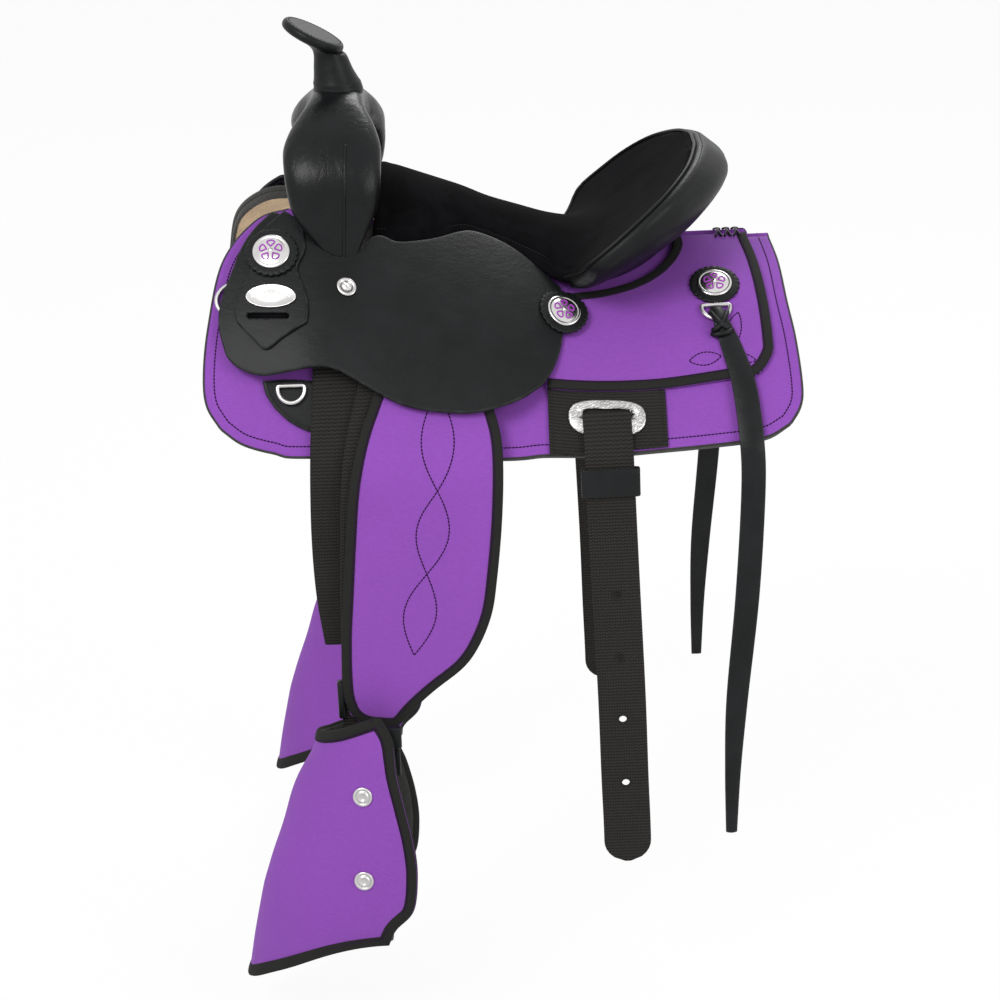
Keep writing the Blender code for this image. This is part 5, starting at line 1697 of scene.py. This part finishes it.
class SADDLE_OT_stirrups(bpy.types.Operator):
    """The stirrups in their hoods, with the bolts and the hobble straps"""

    bl_idname = "saddle.stirrups"
    bl_label = "Stirrups and hoods"

    def execute(self, context):
        s = sizes()
        body = "{}_stirrup"
        pair("stirrup_frame", self.frame(), "strap_leather", body, "stirrup_{}")
        skin = hood_grid()
        normal = grid_normals(skin, (-1, 0, 0))
        run, over = np.moveaxis(flat_of(skin), -1, 0)
        flat = np.stack([over - over[:, -1:] / 2, -run], -1)
        puff = (1 - np.exp(-np.minimum(run, run[-1:] - run) / (12 * MM))) * 1.2 * MM
        hood = sheet(skin - normal * HOOD_T, skin + normal * puff[..., None], flat, 0.08)
        pair("hood_panel", hood, "hood_panel", body, "tapadero_{}")
        low = skin[-1]
        half = len(low) // 2
        share = np.linspace(0.02, 0.98, 25)[None, :, None]
        sole = low[:half, None] * (1 - share) + low[::-1][:half, None] * share
        lift = np.array((0, 0, 3 * MM))
        shape = sheet(sole - lift * 0.2, sole + lift, sole[..., :2], 0.1)
        pair("hood_sole", shape, "strap_leather", body)
        inside = skin[:, 1:-1] - normal[:, 1:-1] * (HOOD_T + 0.4 * MM)
        felt = sheet(inside - normal[:, 1:-1] * 0.9 * MM, inside, flat_of(inside), 0.2)
        pair("hood_lining", felt, "lining_edge", body)
        w = s.hood_binding
        profile = [(w, -0.2 * MM), (w, 1.2 * MM), (w * 0.5, 2.0 * MM), (0.8 * MM, 1.6 * MM),
                   (-0.6 * MM, 0.7 * MM), (-0.9 * MM, -1.5 * MM), (-0.4 * MM, -3.2 * MM),
                   (w * 0.5, -3.6 * MM), (w, -3.4 * MM), (w, -2.4 * MM)]
        tapes, seams = [], []
        borders = (
            (0, 1), (-1, -2), (np.s_[:, 0], np.s_[:, 1]), (np.s_[:, -1], np.s_[:, -2]),
        )
        for edge, inner in borders:
            line, up, into = skin[edge], normal[edge], skin[inner] - skin[edge]
            tapes.append(swept(line, up, profile, into))
            at = line + unit(into) * (w - 1.6 * MM) + up * 1.6 * MM
            seams.append(stitches(at, up, s.stitch_pitch, s.stitch_pitch * 0.86, s.thread))
        pair("hood_tape", joined(tapes), "tape", body)
        pair("hood_seam", joined(seams), "thread", body)
        bolts = []
        points = skin.reshape(-1, 3)
        for x, z in HOOD_BOLTS:
            k = np.argmin((points[:, 0] - x * MM) ** 2 + (points[:, 2] - z * MM) ** 2
                          + (points[:, 1] > BOLT[1]) * 1.0)
            rings = washer_rings(
                9 * MM, ((1, 0.6), (1, 2.0), (0.95, 2.7), (0.78, 3.0), (0.72, 2.2), (0.64, 2.0),
                         (0.58, 3.3), (0.40, 3.9), (0.34, 3.0), (0.03, 2.9)), 36)
            bolts.append(lofted(turned(rings, points[k], normal.reshape(-1, 3)[k])))
        pair("hood_bolts", joined(bolts), "steel", body)
        pair("leather_sleeve", block(*SLEEVE), "strap_leather", "{}_fender")
        strap = joined([block(*part) for part in HOBBLE])
        pair("hobble_strap", strap, "strap_leather", body)
        return {"FINISHED"}

    def frame(self):
        """The stirrup: a loop that widens front to rear from its bolt down to the tread."""
        route = stirrup_line()
        turn = circle(24)
        across, along_x = bent(np.sin(turn), 0.6), bent(np.cos(turn), 0.6)
        thick, tread = 4 * MM, 21 * MM
        rings = []
        for (y, z), (ty, tz) in zip(route, tangents(route, True)):
            deep = thick + (tread - thick) * smoothed((BOLT[2] - z) / (BOLT[2] - TREAD_Z))
            centre = np.array((BOLT[0], BOLT[1] + y, z))
            rings.append(centre + np.array((0, -tz, ty)) * thick * across[:, None]
                         + np.outer(deep * along_x, (1, 0, 0)))
        return lofted(np.array(rings), True)


TREE_NODES = ("tree_bar_left", "tree_bar_right", "tree_fork", "tree_cantle", "ground_seat")


class SADDLE_OT_tree(bpy.types.Operator):
    """The wooden tree and the steel post of the horn, which keep their own shapes"""

    bl_idname = "saddle.tree"
    bl_label = "Tree"

    def execute(self, context):
        for names, look in ((TREE_NODES, "wood"), (("horn_post",), "steel")):
            for name in names:
                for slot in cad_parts[name].material_slots:
                    slot.material = finish(look)
        return {"FINISHED"}


# Stage


def area_light(name, at, aim, size, power):
    lamp = bpy.data.lights.new(name, "AREA")
    lamp.shape, lamp.size, lamp.energy = "DISK", size, power
    made = bpy.data.objects.new(name, lamp)
    bpy.context.scene.collection.objects.link(made)
    made.location = at
    made.rotation_euler = (Vector(aim) - Vector(at)).to_track_quat("-Z", "Y").to_euler()


def seen_white(nodes, surface, kind, share=None):
    """The surface, with a white that the camera, metal and clear things see over it."""
    path = nodes.node("ShaderNodeLightPath")
    camera, glossy, clear = (
        Value(nodes, path.outputs[f"Is {ray} Ray"]) for ray in ("Camera", "Glossy", "Transmission")
    )
    white = nodes.node(kind, None, {"Color": (1, 1, 1, 1), "Strength": 1}).outputs[0]
    if share is not None:
        white = nodes.node("ShaderNodeMixShader", None, (share, surface, white)).outputs[0]
    seen = camera.most(glossy).most(clear)
    return nodes.node("ShaderNodeMixShader", None, (seen, surface, white)).outputs[0]


class SADDLE_OT_stage(bpy.types.Operator):
    """White floor and backdrop, soft studio lights and the camera"""

    bl_idname = "saddle.stage"
    bl_label = "Studio"

    floor_z: FloatProperty(name="Floor height", description="Where the floor lies",
                           default=-0.66, unit="LENGTH")
    lens: FloatProperty(name="Lens", description="Focal length in mm", default=104.04)
    roll: FloatProperty(name="Roll", description="Turn of the camera about its own line",
                        default=math.radians(2.3), unit="ROTATION")

    def execute(self, context):
        context.scene.view_settings.view_transform = "Standard"
        self.light_world(context.scene)
        self.lay_floor(context.scene)
        area_light("key_light", (-1.5, -2.2, 2.3), (0, 0, -0.2), 1.6, 62)
        area_light("fill_light", (2.1, -1.9, 1.0), (0, 0, -0.2), 1.8, 26)
        area_light("rim_light", (0.6, 2.0, 1.9), (0, 0, 0), 1.4, 30)
        self.place_camera(context.scene)
        return {"FINISHED"}

    def light_world(self, scene):
        world = bpy.data.worlds.new("studio")
        scene.world = world
        world.use_nodes = True
        nodes = Nodes(world.node_tree)
        soft = nodes.tree.nodes["Background"]
        soft.inputs["Color"].default_value = (1, 1, 1, 1)
        soft.inputs["Strength"].default_value = 0.55
        mixed = seen_white(nodes, soft.outputs[0], "ShaderNodeBackground")
        nodes.give(nodes.tree.nodes["World Output"].inputs["Surface"], mixed)

    def lay_floor(self, scene):
        mesh = bpy.data.meshes.new("floor")
        reach, corners = 12.0, 64
        rim = [(reach * math.cos(t), reach * math.sin(t), self.floor_z) for t in circle(corners)]
        mesh.from_pydata(rim, [], [list(range(corners))])
        floor = bpy.data.objects.new("floor", mesh)
        scene.collection.objects.link(floor)
        pale = Finish("pale_floor", Base_Color=(0.9, 0.9, 0.9, 1), Roughness=0.9,
                      Specular_IOR_Level=0.1)
        mixed = seen_white(pale, pale.shader.outputs[0], "ShaderNodeEmission", 0.93)
        pale.give(pale.tree.nodes["Material Output"].inputs["Surface"], mixed)
        mesh.materials.append(pale.material)

    def place_camera(self, scene):
        lens = bpy.data.cameras.new("studio_camera")
        lens.lens, lens.sensor_width, lens.sensor_fit = self.lens, 36, "HORIZONTAL"
        lens.clip_end = 60
        camera = bpy.data.objects.new("studio_camera", lens)
        scene.collection.objects.link(camera)
        camera.location = (0, -2.631, 0.714)
        look = (Vector((0, 0, -0.244)) - camera.location).to_track_quat("-Z", "Y")
        camera.rotation_euler = (look @ Quaternion((0, 0, 1), -self.roll)).to_euler()
        scene.camera = camera


OPERATORS = (
    SADDLE_OT_tree, SADDLE_OT_skirts, SADDLE_OT_rear_jockeys, SADDLE_OT_jockeys, SADDLE_OT_rigging,
    SADDLE_OT_conchos, SADDLE_OT_fenders, SADDLE_OT_straps, SADDLE_OT_swell, SADDLE_OT_seat,
    SADDLE_OT_stirrups, SADDLE_OT_stage,
)


class SADDLE_PT_pieces(bpy.types.Panel):
    bl_idname = "SADDLE_PT_pieces"
    bl_label = "All-around saddle"
    bl_space_type = "VIEW_3D"
    bl_region_type = "UI"
    bl_category = "Saddle"

    def draw(self, context):
        layout = self.layout
        for group in (context.scene.saddle_sizes, context.scene.saddle_colours):
            box = layout.box()
            for name in group.__annotations__:
                box.prop(group, name)
        for operator in OPERATORS:
            layout.operator(operator.bl_idname)


CLASSES = (SaddleSizes, SaddleColours, *OPERATORS, SADDLE_PT_pieces)


def register():
    for cls in CLASSES:
        bpy.utils.register_class(cls)
    bpy.types.Scene.saddle_sizes = PointerProperty(type=SaddleSizes)
    bpy.types.Scene.saddle_colours = PointerProperty(type=SaddleColours)


def unregister():
    del bpy.types.Scene.saddle_colours
    del bpy.types.Scene.saddle_sizes
    for cls in reversed(CLASSES):
        bpy.utils.unregister_class(cls)


def main():
    register()
    for operator in OPERATORS:
        group, name = operator.bl_idname.split(".")
        if getattr(getattr(bpy.ops, group), name)() != {"FINISHED"}:
            raise RuntimeError(f"{operator.bl_label} could not be made")


if __name__ == "__main__":
    main()
